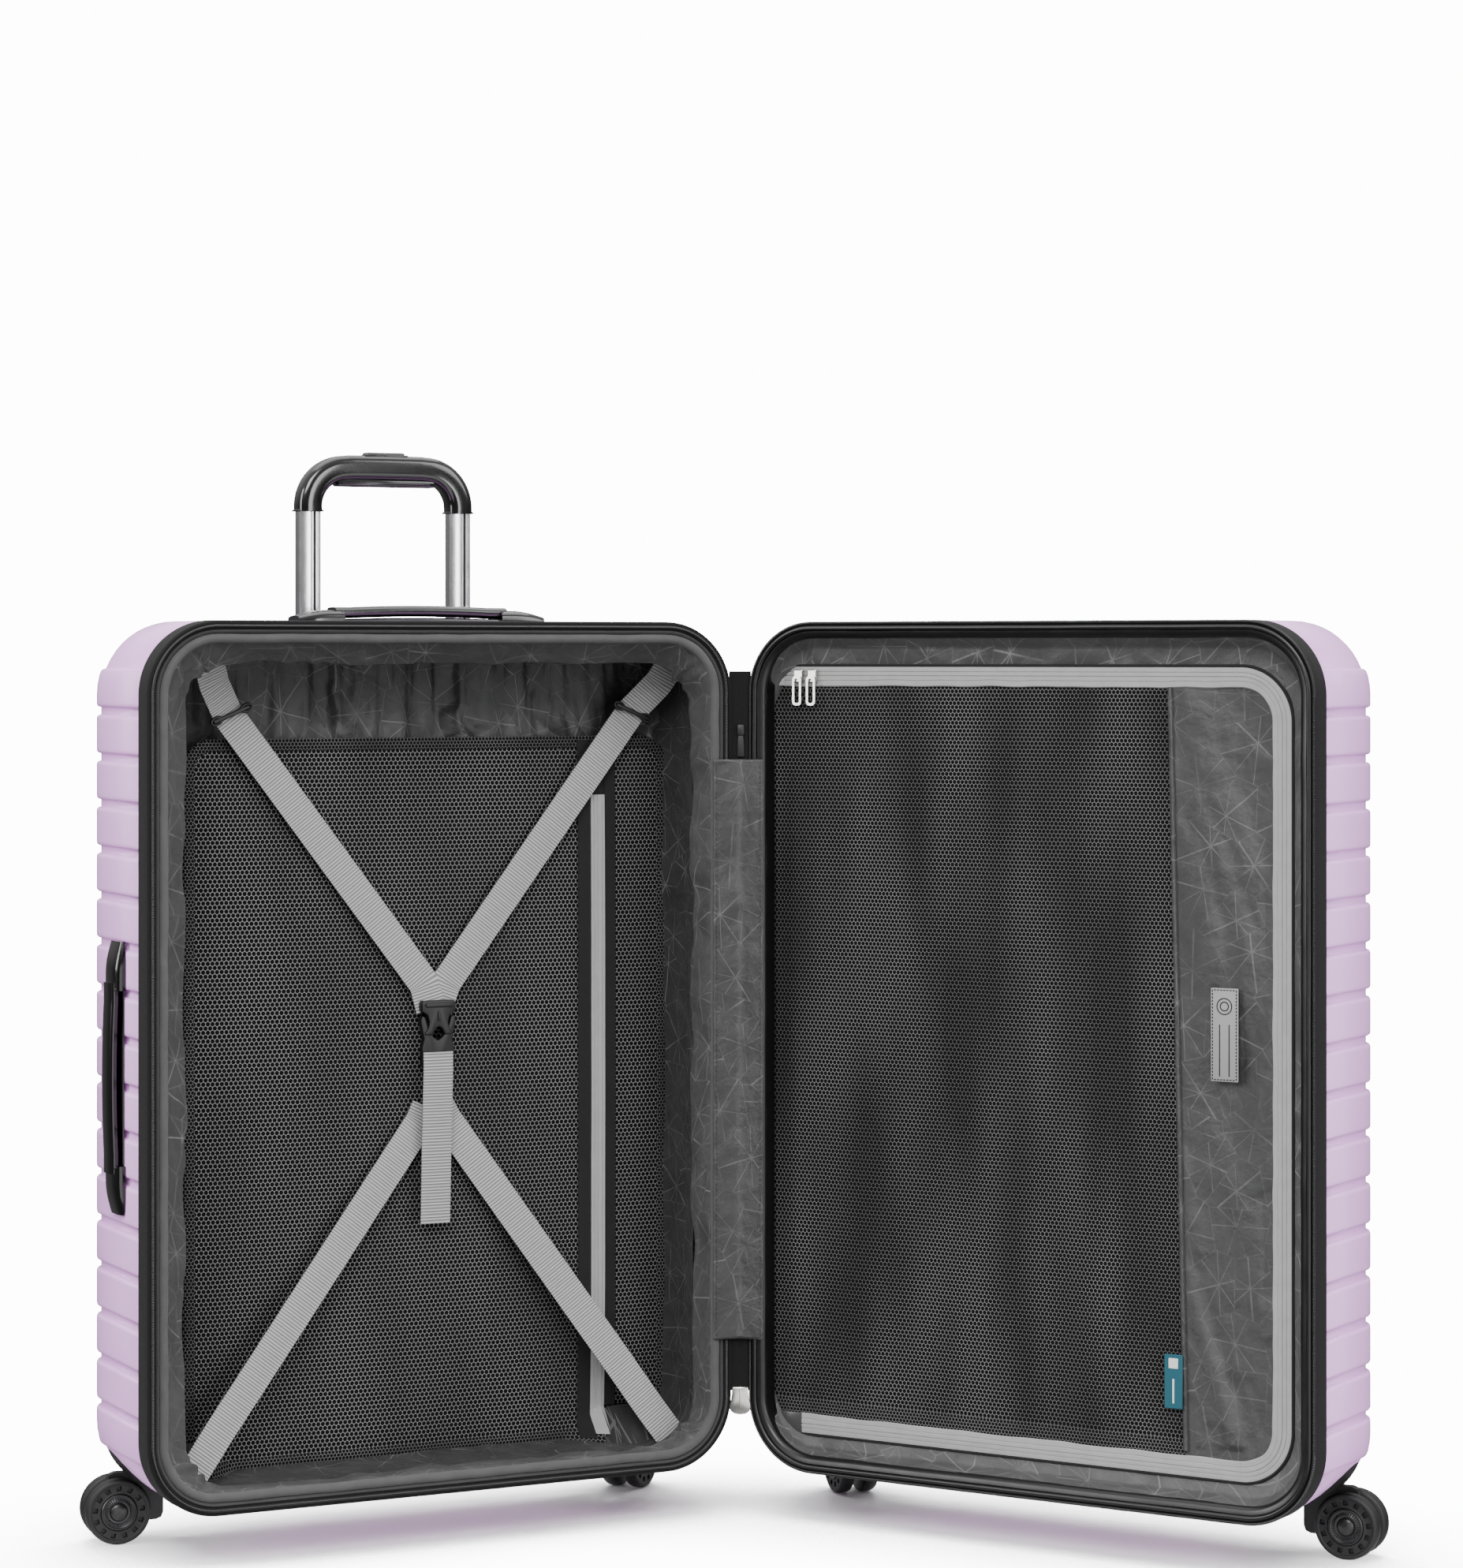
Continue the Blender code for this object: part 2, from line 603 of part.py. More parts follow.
def telescopic_handle(half):
    middle = empty("handle_middle_stage", half, (0.0, TUBE_BACK, 0.0))
    upper = empty("handle_upper_stage", middle)
    grip_foot = GRIP_TOP - GRIP_LEG - GAP
    for name, side in tube_sides():
        mesh = tube(1, BEZEL_TOP - MIDDLE_TUBE_LENGTH, BEZEL_TOP)
        piece(f"middle_tube_{name}", mesh, "bright_aluminium", middle, (side, 0.0, 0.0))
        mesh = tube(0, grip_foot - INNER_TUBE_LENGTH, grip_foot)
        piece(f"upper_tube_{name}", mesh, "bright_aluminium", upper, (side, 0.0, 0.0))
    piece("telescopic_grip", grip_mesh(), "black_gloss", upper)
    size = (BUTTON_WIDTH, BUTTON_DEPTH, BUTTON_HEIGHT)
    button = box(size, (0.0, 0.0, 0.0), 0.0018, 2)
    place = (0.0, 0.0, GRIP_TOP + BUTTON_RISE - BUTTON_HEIGHT / 2)
    piece("release_button", smooth(button), "black_matt", upper, place)


def carry_handle(label, mount):
    """A carry handle on its own mount: length along X, outward along Z."""
    plate_size = (HANDLE_LENGTH - 2 * PLATE_INSET, HANDLE_WIDTH - 2 * PLATE_INSET, HANDLE_PLATE)
    plate_box = box(plate_size, (0.0, 0.0, HANDLE_PLATE / 2))
    caps = []
    reach = HANDLE_LENGTH / 2 - HANDLE_CAP / 2
    for side in (-1, 1):
        size = (HANDLE_CAP, HANDLE_WIDTH, HANDLE_CAP_RISE)
        caps.append(box(size, (side * reach, 0.0, HANDLE_CAP_RISE / 2), 0.003, 2))
    base = joined(plate_box, *caps)
    piece(f"{label}_handle_base", smooth(base), "black_matt", mount)
    span = HANDLE_LENGTH - 2 * HANDLE_CAP - 0.0016
    low = HANDLE_CAP_RISE - 0.0010
    sag = HANDLE_GRIP_RISE - low
    radius = (span * span / 4 + sag * sag) / (2 * sag)
    spread = math.degrees(math.asin(span / 2 / radius))
    centre = (0.0, HANDLE_GRIP_RISE - radius)
    outer = arc(centre, radius, 90 - spread, 90 + spread, 14)
    inner = [(x, max(z - HANDLE_GRIP_THICKNESS, HANDLE_PLATE + 0.0006)) for x, z in reversed(outer)]
    mesh = plate([outer + inner], HANDLE_GRIP_WIDTH, "XZ", 0.0)
    return piece(f"{label}_handle_grip", smooth(mesh), "black_gloss", mount)


def carry_handles(half):
    top = empty("top_handle_mount", half, (0.0, HANDLE_BACK, TOP + GAP))
    carry_handle("top", top)
    side = empty("side_handle_mount", half, (-HALF_WIDTH / 2 - GAP, HANDLE_BACK, SIDE_HANDLE_LEVEL))
    side.rotation_euler = (0.0, -math.pi / 2, 0.0)
    carry_handle("side", side)


def housing(name, half, place, depth):
    """The dished caster housing that fills a pocket, with its swivel boss."""
    dish = common(pocket(-GAP, place), mesh_from(shell_block(depth)))
    room_top = POCKET_TOP - GAP - HOUSING_WALL
    foot = GROUND_GAP - 0.020
    height = room_top - foot
    radius = POCKET_RADIUS - GAP - HOUSING_WALL
    flare = POCKET_FLARE * height / POCKET_HEIGHT
    middle = (place[0], place[1], foot + height / 2)
    room = cylinder(radius + flare, height, middle, "Z", 28, far_radius=radius)
    boss_top = POCKET_TOP - GAP - HOUSING_WALL / 2
    boss = cylinder(BOSS_RADIUS, boss_top - BOSS_FOOT, (*place, (boss_top + BOSS_FOOT) / 2), "Z", 24)
    bore_top = BOSS_FOOT + BOSS_BORE
    bore_foot = BOSS_FOOT - 0.004
    size = STEM_RADIUS + STEM_CLEARANCE
    bore = cylinder(size, bore_top - bore_foot, (*place, (bore_top + bore_foot) / 2), "Z", 16)
    body = less(joined(less(dish, room), boss), bore)
    piece(name, smooth(body, 35.0), "black_matt", half)


def caster(label, half, place, depth, heading):
    """A twin-wheel swivel caster; heading is where the wheels trail, in degrees."""
    housing(f"{label}_housing", half, place, depth)
    swivel = empty(f"{label}_swivel", half, (*place, 0.0), math.radians(heading))
    plate_top = BOSS_FOOT - GAP
    plate_foot = plate_top - SWIVEL_PLATE
    disc = cylinder(BOSS_RADIUS - 0.0005, SWIVEL_PLATE, (0.0, 0.0, (plate_top + plate_foot) / 2), "Z", 24)
    stem_level = plate_top + STEM_RISE - STEM_LENGTH / 2
    stem = cylinder(STEM_RADIUS, STEM_LENGTH, (0.0, 0.0, stem_level), "Z", 16)
    web_width = WHEEL_SPACING - WHEEL_WIDTH - 2 * FORK_CLEARANCE
    web_foot = WHEEL_RADIUS - FORK_FOOT
    web_size = (CASTER_TRAIL + FORK_REACH, web_width, plate_foot + 0.001 - web_foot)
    web = box(web_size, (CASTER_TRAIL / 2 - 0.001, 0.0, web_foot + web_size[2] / 2), 0.0060, 2, 1)
    bore = cylinder(WHEEL_BORE, 0.030, (CASTER_TRAIL, 0.0, WHEEL_RADIUS), "Y", 16)
    fork = less(joined(disc, stem, web), bore)
    piece(f"{label}_fork", smooth(fork, 35.0), "black_matt", swivel)
    hub = empty(f"{label}_hub", swivel, (CASTER_TRAIL, 0.0, WHEEL_RADIUS))
    reach = WHEEL_SPACING / 2 - WHEEL_WIDTH / 2 + BORE_DEPTH - 0.0005
    axle = cylinder(AXLE_RADIUS, 2 * reach, axis="Y", sides=16)
    piece(f"{label}_axle", smooth(axle), "steel_axle", hub)
    for side, name in ((-1, "wheel_a"), (1, "wheel_b")):
        piece(f"{label}_{name}", wheel_mesh(side), "wheel_tyre", hub, (0.0, side * WHEEL_SPACING / 2, 0.0))


def wheel_mesh(side):
    """One of the twin wheels, with a blind bore on its inner face."""
    disc = cylinder(WHEEL_RADIUS, WHEEL_WIDTH, axis="Y", sides=28, bevel=0.0016)
    middle = -side * (WHEEL_WIDTH - BORE_DEPTH)
    bore = cylinder(WHEEL_BORE, WHEEL_WIDTH, (0.0, middle, 0.0), "Y", 16)
    return smooth(less(disc, bore))


def strap(name, half, start, end, order):
    """A flat run of webbing between two points of the half's own X and Z."""
    run = Vector((end[0] - start[0], end[1] - start[1]))
    tilt = math.atan2(run.x, run.y)
    mesh = box((STRAP_WIDTH, STRAP_THICKNESS, run.length), bevel=SOFT_EDGE, segments=1, axis=2)
    level = STRAP_LEVEL + order * STRAP_STEP
    middle = ((start[0] + end[0]) / 2, level, (start[1] + end[1]) / 2)
    piece(name, mesh, "grey_webbing", half, middle, (0.0, tilt, 0.0))


def packing_straps(half):
    """The crossed straps, their buckle and the loose tail below it."""
    centre = -BUCKLE_SIDE
    upper = BUCKLE_LEVEL + STRAP_UPPER
    lower = BUCKLE_LEVEL - STRAP_LOWER
    reach = HALF_WIDTH / 2 - STRAP_REACH
    head = TOP - STRAP_HEAD
    foot = POCKET_TOP + STRAP_FOOT
    near = centre - STRAP_SPLAY
    far = centre + STRAP_SPLAY
    strap("strap_upper_outer", half, (near, upper), (-reach + 0.024, head), 0)
    strap("strap_upper_hinge", half, (far, upper), (reach + 0.006, head), 1)
    strap("strap_lower_outer", half, (near, lower), (-reach + 0.030, foot), 2)
    strap("strap_lower_hinge", half, (far, lower), (reach + 0.004, foot), 3)
    face = STRAP_LEVEL - STRAP_THICKNESS / 2 - GAP - BUCKLE_THICKNESS / 2
    socket_size = (BUCKLE_WIDTH, BUCKLE_THICKNESS, SOCKET_HEIGHT)
    socket = box(socket_size, (centre, face, BUCKLE_LEVEL + SOCKET_HEIGHT / 2), 0.0022, 2)
    piece("buckle_socket", smooth(socket), "black_matt", half)
    plug_size = (BUCKLE_WIDTH - 0.004, BUCKLE_THICKNESS - 0.0015, PLUG_HEIGHT)
    plug_level = BUCKLE_LEVEL - 0.0005 - PLUG_HEIGHT / 2
    plug = box(plug_size, (centre, face, plug_level), 0.0018, 2)
    piece("buckle_plug", smooth(plug), "black_matt", half)
    tail_level = plug_level - PLUG_HEIGHT / 2 - 0.0005 - TAIL_LENGTH / 2
    tail = box((STRAP_WIDTH, STRAP_THICKNESS, TAIL_LENGTH), (centre, face, tail_level), SOFT_EDGE, 1, 2)
    piece("strap_tail", tail, "grey_webbing", half)


def divider(half):
    """The zipped divider over the lid, its zip, and two pullers with loop tabs."""
    inset = PANEL_INSET + LINING_THICKNESS + DIVIDER_ROOM
    outline = rounded(HALF_WIDTH - 2 * inset, HALF_HEIGHT - 2 * inset, CORNER_RADIUS - inset, (0.0, MIDDLE))
    panel = plate([outline], PANEL_THICKNESS, "XZ", DIVIDER_LEVEL + PANEL_THICKNESS / 2)
    piece("divider_panel", smooth(panel), "dark_mesh", half)
    face = DIVIDER_LEVEL - GAP - ZIP_THICKNESS / 2
    mesh = plate([zip_outline()], ZIP_THICKNESS, "XZ", face)
    piece("divider_zip", smooth(mesh), "grey_zip", half)
    runner = DIVIDER_LEVEL - 2 * GAP - ZIP_THICKNESS - SLIDER_THICKNESS / 2
    for label, start in (("a", SLIDER_START), ("b", SLIDER_START + SLIDER_SPACING)):
        place = (start - HALF_WIDTH / 2, runner, TOP - ZIP_TOP_EDGE - ZIP_WIDTH / 2)
        slider = empty(f"zip_puller_{label}", half, place)
        body = box((SLIDER_WIDTH, SLIDER_THICKNESS, SLIDER_LENGTH), (0.0, 0.0, 0.0), 0.0010, 2)
        piece(f"zip_slider_{label}", smooth(body), "zinc_puller", slider)
        pin = empty(f"puller_pin_{label}", slider)
        pin.location = (0.0, -SLIDER_THICKNESS / 2 - GAP - TAB_THICKNESS / 2, 0.0)
        loop = rounded(TAB_WIDTH, TAB_LENGTH, 0.0030, (0.0, -TAB_LENGTH / 2), 3)
        hole_size = (TAB_WIDTH - 2 * TAB_RIM, TAB_LENGTH - 2 * TAB_RIM)
        hole = rounded(*hole_size, 0.0016, (0.0, -TAB_LENGTH / 2), 3)
        tab = plate([loop, hole], TAB_THICKNESS, "XZ", 0.0)
        piece(f"puller_tab_{label}", smooth(tab), "zinc_puller", pin)


def zip_outline():
    """A C-shaped band: along the top, down the outer side and back along the bottom."""
    start = ZIP_EDGE - HALF_WIDTH / 2
    side = HALF_WIDTH / 2 - ZIP_EDGE
    top = TOP - ZIP_TOP_EDGE
    foot = GROUND_GAP + ZIP_EDGE
    turn = ZIP_TURN
    outer = [(start, foot)] + arc((side - turn, foot + turn), turn, 270, 360, 5)
    outer += arc((side - turn, top - turn), turn, 0, 90, 5) + [(start, top)]
    narrow = turn - ZIP_WIDTH
    inner = [(start, foot + ZIP_WIDTH)] + arc((side - turn, foot + turn), narrow, 270, 360, 5)
    inner += arc((side - turn, top - turn), narrow, 0, 90, 5) + [(start, top - ZIP_WIDTH)]
    return outer + list(reversed(inner))


def hinge_strip(root, lid):
    """The cloth strip that covers the hinge line, in two halves, and the zip's end clip."""
    height = FLAP_TOP - FLAP_FOOT
    level = (FLAP_TOP + FLAP_FOOT) / 2
    face = FLAP_LIFT + FLAP_THICKNESS / 2
    middle = FLAP_SIDE + FLAP_WIDTH / 2
    for name, side, parent in (("hinge_flap_rear", -1, root), ("hinge_flap_lid", 1, lid)):
        strip = box((FLAP_WIDTH, FLAP_THICKNESS, height), (side * middle, face, level), 0.0002, 1)
        piece(name, strip, "grey_lining", parent)
    clip = box(CLIP_SIZE, (0.0, 0.0, CLIP_LEVEL), 0.0012, 2)
    piece("zip_end_clip", smooth(clip), "zinc_puller", root)


def build():
    clear_scene()
    root = empty("hinge_foot")
    lid = empty("lid_hinge", root, turn=math.radians(OPEN_ANGLE - 180.0))
    middle = HINGE_OFFSET + HALF_WIDTH / 2
    rear_half = empty("rear_half", root, (-middle, 0.0, 0.0))
    lid_half = empty("lid_half", lid, (middle, 0.0, 0.0))

    slot = cutter("bezel_slot", bezel_box(GAP), rear_half)
    shell("rear_shell", rear_half, REAR_DEPTH, shell_holes("rear", rear_half, REAR_DEPTH) + [slot])
    shell("lid_shell", lid_half, LID_DEPTH, shell_holes("lid", lid_half, LID_DEPTH))
    rim("rear", rear_half)
    rim("lid", lid_half)
    lining("rear", rear_half, REAR_DEPTH, REAR_LINING_BACK)
    lining("lid", lid_half, LID_DEPTH, LID_LINING_BACK)
    floor_panel(rear_half)
    handle_frame(rear_half)
    telescopic_handle(rear_half)
    carry_handles(rear_half)
    packing_straps(rear_half)
    divider(lid_half)
    hinge_strip(root, lid)
    rear_outer, rear_hinge = caster_places(REAR_DEPTH)
    lid_hinge, lid_outer = caster_places(LID_DEPTH)
    caster("caster_rear_outer", rear_half, rear_outer, REAR_DEPTH, 173.0)
    caster("caster_rear_hinge", rear_half, rear_hinge, REAR_DEPTH, 40.0)
    caster("caster_lid_hinge", lid_half, lid_hinge, LID_DEPTH, 140.0)
    caster("caster_lid_outer", lid_half, lid_outer, LID_DEPTH, 5.0)


build()
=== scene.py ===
import math

import bmesh
import bpy
import numpy as np
from mathutils import Matrix, Vector, noise


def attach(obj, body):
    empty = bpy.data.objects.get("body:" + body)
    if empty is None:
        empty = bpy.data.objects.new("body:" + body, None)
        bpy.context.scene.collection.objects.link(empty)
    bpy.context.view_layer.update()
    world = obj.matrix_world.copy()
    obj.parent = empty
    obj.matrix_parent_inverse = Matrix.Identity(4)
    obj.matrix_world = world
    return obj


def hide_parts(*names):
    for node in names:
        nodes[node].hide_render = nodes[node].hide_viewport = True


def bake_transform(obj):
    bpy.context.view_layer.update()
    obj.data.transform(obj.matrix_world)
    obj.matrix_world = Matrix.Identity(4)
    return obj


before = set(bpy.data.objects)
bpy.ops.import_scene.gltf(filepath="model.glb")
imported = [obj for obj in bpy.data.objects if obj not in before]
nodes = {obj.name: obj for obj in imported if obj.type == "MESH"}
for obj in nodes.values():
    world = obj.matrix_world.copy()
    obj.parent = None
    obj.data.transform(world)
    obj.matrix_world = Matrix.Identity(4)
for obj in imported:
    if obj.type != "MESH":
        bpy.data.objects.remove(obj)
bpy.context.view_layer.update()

print("frame loaded")

# metres, in each half's own axes: x across, y back from the opening, z up
case = {"width": 0.499, "foot": 0.040, "top": 0.730, "corner": 0.058, "hinge": 0.007, "open": 122.0,
        "rearDepth": 0.163, "lidDepth": 0.145, "front": 0.0235}
side = case["width"] / 2
rearPlace = Matrix.Translation((-case["hinge"] - side, 0, 0))
lidPlace = Matrix.Rotation(math.radians(case["open"] - 180), 4, "Z") @ Matrix.Translation((case["hinge"] + side, 0, 0))
halves = {"rear": (rearPlace, "rear_half", case["rearDepth"]), "lid": (lidPlace, "lid", case["lidDepth"])}


def linear(hexText):  # an sRGB colour as the linear numbers a shader takes
    parts = [int(hexText[i:i + 2], 16) / 255 for i in (1, 3, 5)]
    return [p / 12.92 if p <= 0.04045 else ((p + 0.055) / 1.055) ** 2.4 for p in parts] + [1.0]


def node(tree, kind, settings=None, links=None):  # one node with its fields, socket values and links
    made = tree.nodes.new("ShaderNode" + kind)
    for key, value in (settings or {}).items():
        if isinstance(key, str) and key[0].islower():
            setattr(made, key, value)
        else:
            made.inputs[key].default_value = value
    for key, source in (links or {}).items():
        tree.links.new(source, made.inputs[key])
    return made


def surface(name, base, roughness, metallic=0.0, space="UV", **more):  # a plain finish and where its pattern is read
    made = bpy.data.materials.new(name)
    made.use_nodes = True
    tree = made.node_tree
    shader = tree.nodes["Principled BSDF"]
    values = {"Base Color": linear(base), "Roughness": roughness, "Metallic": metallic, **more}
    for key, value in values.items():
        shader.inputs[key].default_value = value
    where = node(tree, "TexCoord").outputs[space]
    return made, tree, shader, where


def bump(tree, shader, height, depth):  # adds relief, in metres, over any relief already there
    made = node(tree, "Bump", {"Distance": depth, "Strength": 1.0}, {"Height": height})
    if shader.inputs["Normal"].is_linked:
        tree.links.new(shader.inputs["Normal"].links[0].from_socket, made.inputs["Normal"])
    tree.links.new(made.outputs[0], shader.inputs["Normal"])
    return made


def speckle(tree, where, size, detail=3.0):  # soft noise; size is the width of one blotch in metres
    return node(tree, "TexNoise", {"Scale": 1 / size, "Detail": detail}, {"Vector": where}).outputs[0]


def mixed(tree, shader, amount, first, second, socket="Base Color"):  # blends two colours or numbers by amount
    ends = [linear(c) if isinstance(c, str) else c for c in (first, second)]
    if socket == "Base Color":
        made = node(tree, "Mix", {"data_type": "RGBA", 6: ends[0], 7: ends[1]}, {0: amount})
        tree.links.new(made.outputs[2], shader.inputs[socket])
        return made.outputs[2]
    made = node(tree, "MapRange", {"To Min": ends[0], "To Max": ends[1]}, {0: amount})
    tree.links.new(made.outputs[0], shader.inputs[socket])
    return made.outputs[0]


def maths(tree, operation, *values):
    made = node(tree, "Math", {"operation": operation})
    for index, value in enumerate(values):
        if isinstance(value, (int, float)):
            made.inputs[index].default_value = value
        else:
            tree.links.new(value, made.inputs[index])
    return made.outputs[0]


def ramp(tree, value, low, high, toLow=0.0, toHigh=1.0):
    settings = {"From Min": low, "From Max": high, "To Min": toLow, "To Max": toHigh}
    return node(tree, "MapRange", settings, {0: value}).outputs[0]


def weave(tree, where, pitch):  # two crossed sets of threads
    parts = node(tree, "SeparateXYZ", None, {0: where})
    waves = [maths(tree, "SINE", maths(tree, "MULTIPLY", parts.outputs[i], math.tau / pitch)) for i in (0, 1)]
    return maths(tree, "MULTIPLY", *waves)


def starLines(tree, where, size):  # straight spokes from scattered stars, and the faint edges between them
    width, spokes = 0.00030, 8  # half the width of a line in metres, drawn coarse enough to show; lines at each star
    cells = {"voronoi_dimensions": "2D", "Scale": 1 / size, "Randomness": 0.8}
    star = node(tree, "TexVoronoi", {"feature": "F1", **cells}, {"Vector": where})
    edge = node(tree, "TexVoronoi", {"feature": "DISTANCE_TO_EDGE", **cells}, {"Vector": where}).outputs["Distance"]
    chance = node(tree, "SeparateColor", None, {0: star.outputs["Color"]}).outputs
    away = node(tree, "VectorMath", {"operation": "SUBTRACT"}, {0: where, 1: star.outputs["Position"]}).outputs[0]
    parts = node(tree, "SeparateXYZ", None, {0: away}).outputs
    turn = maths(tree, "ARCTAN2", parts[1], parts[0])
    lag = maths(tree, "MULTIPLY", chance[1], 6.3)
    sway = maths(tree, "SINE", maths(tree, "ADD", maths(tree, "MULTIPLY", turn, 2.0), lag))
    uneven = maths(tree, "ADD", turn, maths(tree, "MULTIPLY", sway, 0.22))
    place = maths(tree, "ADD", maths(tree, "MULTIPLY", uneven, spokes / math.tau), chance[0])
    off = maths(tree, "ABSOLUTE", maths(tree, "SUBTRACT", maths(tree, "FRACT", place), 0.5))
    reach = maths(tree, "SQRT", maths(tree, "ADD", *[maths(tree, "MULTIPLY", parts[i], parts[i]) for i in (0, 1)]))
    spoke = ramp(tree, maths(tree, "MULTIPLY", off, reach), width, width * 2.2, 1.0, 0.0)
    rim = ramp(tree, edge, width / size, width * 2.0 / size, 0.35, 0.0)
    return maths(tree, "MAXIMUM", spoke, rim)


def shellFinish():  # vacuum-formed polycarbonate: a satin, faintly grained lilac with a soft, even highlight
    made, tree, shader, where = surface("lilacPolycarbonate", "#E3A9E9", 0.36, space="Object", **{"IOR": 1.58})
    bump(tree, shader, speckle(tree, where, 0.0011, 2.0), 0.00006)
    mixed(tree, shader, speckle(tree, where, 0.05), "#DFA3E6", "#E7AFED")
    mixed(tree, shader, speckle(tree, where, 0.02), 0.32, 0.42, "Roughness")
    return made


def fabric(name, base, shade, roughness, pitch, sheen=0.04):  # a plain woven cloth; threads drawn a little coarser
    made, tree, shader, where = surface(name, base, roughness, **{"Sheen Weight": sheen, "Sheen Roughness": 0.5,
                                        "Specular IOR Level": 0.25})
    bump(tree, shader, weave(tree, where, pitch), 0.00012)
    mixed(tree, shader, speckle(tree, where, 0.012), shade, base)
    return made


def starSatin(name, base, shade, line, roughness):  # polyester satin printed with pale straight lines; lustrous folds
    made, tree, shader, where = surface(name, base, roughness, **{"Sheen Weight": 0.03, "Specular IOR Level": 0.55})
    ground = mixed(tree, shader, speckle(tree, where, 0.03), shade, base)
    worn = ramp(tree, speckle(tree, where, 0.04), 0.35, 0.62, 0.1, 0.9)
    lines = maths(tree, "MULTIPLY", starLines(tree, where, 0.042), worn)
    drawn = node(tree, "Mix", {"data_type": "RGBA", 7: linear(line)}, {0: lines, 6: ground})
    tree.links.new(drawn.outputs[2], shader.inputs["Base Color"])
    bump(tree, shader, weave(tree, where, 0.0006), 0.00005)
    bump(tree, shader, speckle(tree, where, 0.008), 0.0009)
    bump(tree, shader, speckle(tree, where, 0.030, 1.0), 0.0040)
    return made


def netFinish(name, pitch, thread, dim, hole):  # knitted polyester mesh: matt grey threads round staggered holes; the threads carry painted fold shade in soft vertical streaks, and the holes are painted near-black as shade
    made, tree, shader, where = surface(name, thread, 0.75, **{"Specular IOR Level": 0.2})
    cell = (pitch, pitch * 1.80, 1.0)
    cells = []
    for shift in (0.0, 0.5):
        moved = node(tree, "VectorMath", {"operation": "ADD", 1: [c * shift for c in cell]}, {0: where}).outputs[0]
        wrapped = node(tree, "VectorMath", {"operation": "WRAP", 1: (*[c / 2 for c in cell[:2]], 1.0),
                       2: (*[-c / 2 for c in cell[:2]], -1.0)}, {0: moved}).outputs[0]
        flat = node(tree, "VectorMath", {"operation": "MULTIPLY", 1: (1.0, 0.95, 0.0)}, {0: wrapped}).outputs[0]
        cells.append(node(tree, "VectorMath", {"operation": "LENGTH"}, {0: flat}).outputs["Value"])
    near = maths(tree, "MINIMUM", *cells)
    solid = ramp(tree, near, pitch * 0.39, pitch * 0.47)
    # soft vertical streaks where the threads darken to the second grey: painted shade of soft folds in the mesh
    tall = node(tree, "Mapping", {"Scale": (1.0, 0.22, 1.0)}, {0: where}).outputs[0]
    shade = ramp(tree, speckle(tree, tall, 0.060, 1.0), 0.36, 0.64)
    threads = node(tree, "Mix", {"data_type": "RGBA", 6: linear(dim), 7: linear(thread)}, {0: shade}).outputs[2]
    # the holes are painted near-black: painted shade for the dark space seen through them
    drawn = node(tree, "Mix", {"data_type": "RGBA", 6: linear(hole)}, {0: solid, 7: threads})
    tree.links.new(drawn.outputs[2], shader.inputs["Base Color"])
    mixed(tree, shader, solid, 1.0, 0.7, "Roughness")
    bump(tree, shader, solid, 0.0006)
    return made


def webbingFinish():  # polyester webbing: fine ribs across its length, plainer along both edges
    made, tree, shader, where = surface("greyWebbing", "#969696", 0.8, **{"Specular IOR Level": 0.2})
    run = node(tree, "SeparateXYZ", None, {0: where}).outputs[0]
    rib = ramp(tree, maths(tree, "SINE", maths(tree, "MULTIPLY", run, math.tau / 0.0026)), -0.6, 0.6)
    # rib tops painted lighter and the gaps between them darker, following the ribs' bump: painted highlight and shade
    mixed(tree, shader, rib, "#7A7A7A", "#B4B4B4")
    bump(tree, shader, rib, 0.0003)
    bump(tree, shader, weave(tree, where, 0.0013), 0.0001)
    return made


def plastic(name, base, roughness, grain=0.0, space="Object", **more):  # moulded plastic; grain is its relief in metres
    made, tree, shader, where = surface(name, base, roughness, space=space, **more)
    mixed(tree, shader, speckle(tree, where, 0.015), roughness * 0.85, roughness * 1.2, "Roughness")
    bump(tree, shader, speckle(tree, where, 0.0012), grain or 0.00002)
    return made


def metal(name, base, roughness, brushed=0.0):  # bright metal; brushed draws fine lines along its length
    made, tree, shader, where = surface(name, base, roughness, 1.0, "Object")
    if brushed:
        lined = node(tree, "Mapping", {"Scale": (1.0, 1.0, 0.01)}, {0: where}).outputs[0]
        bump(tree, shader, speckle(tree, lined, 0.0005), brushed)
    mixed(tree, shader, speckle(tree, where, 0.01), roughness * 0.8, roughness * 1.25, "Roughness")
    return made


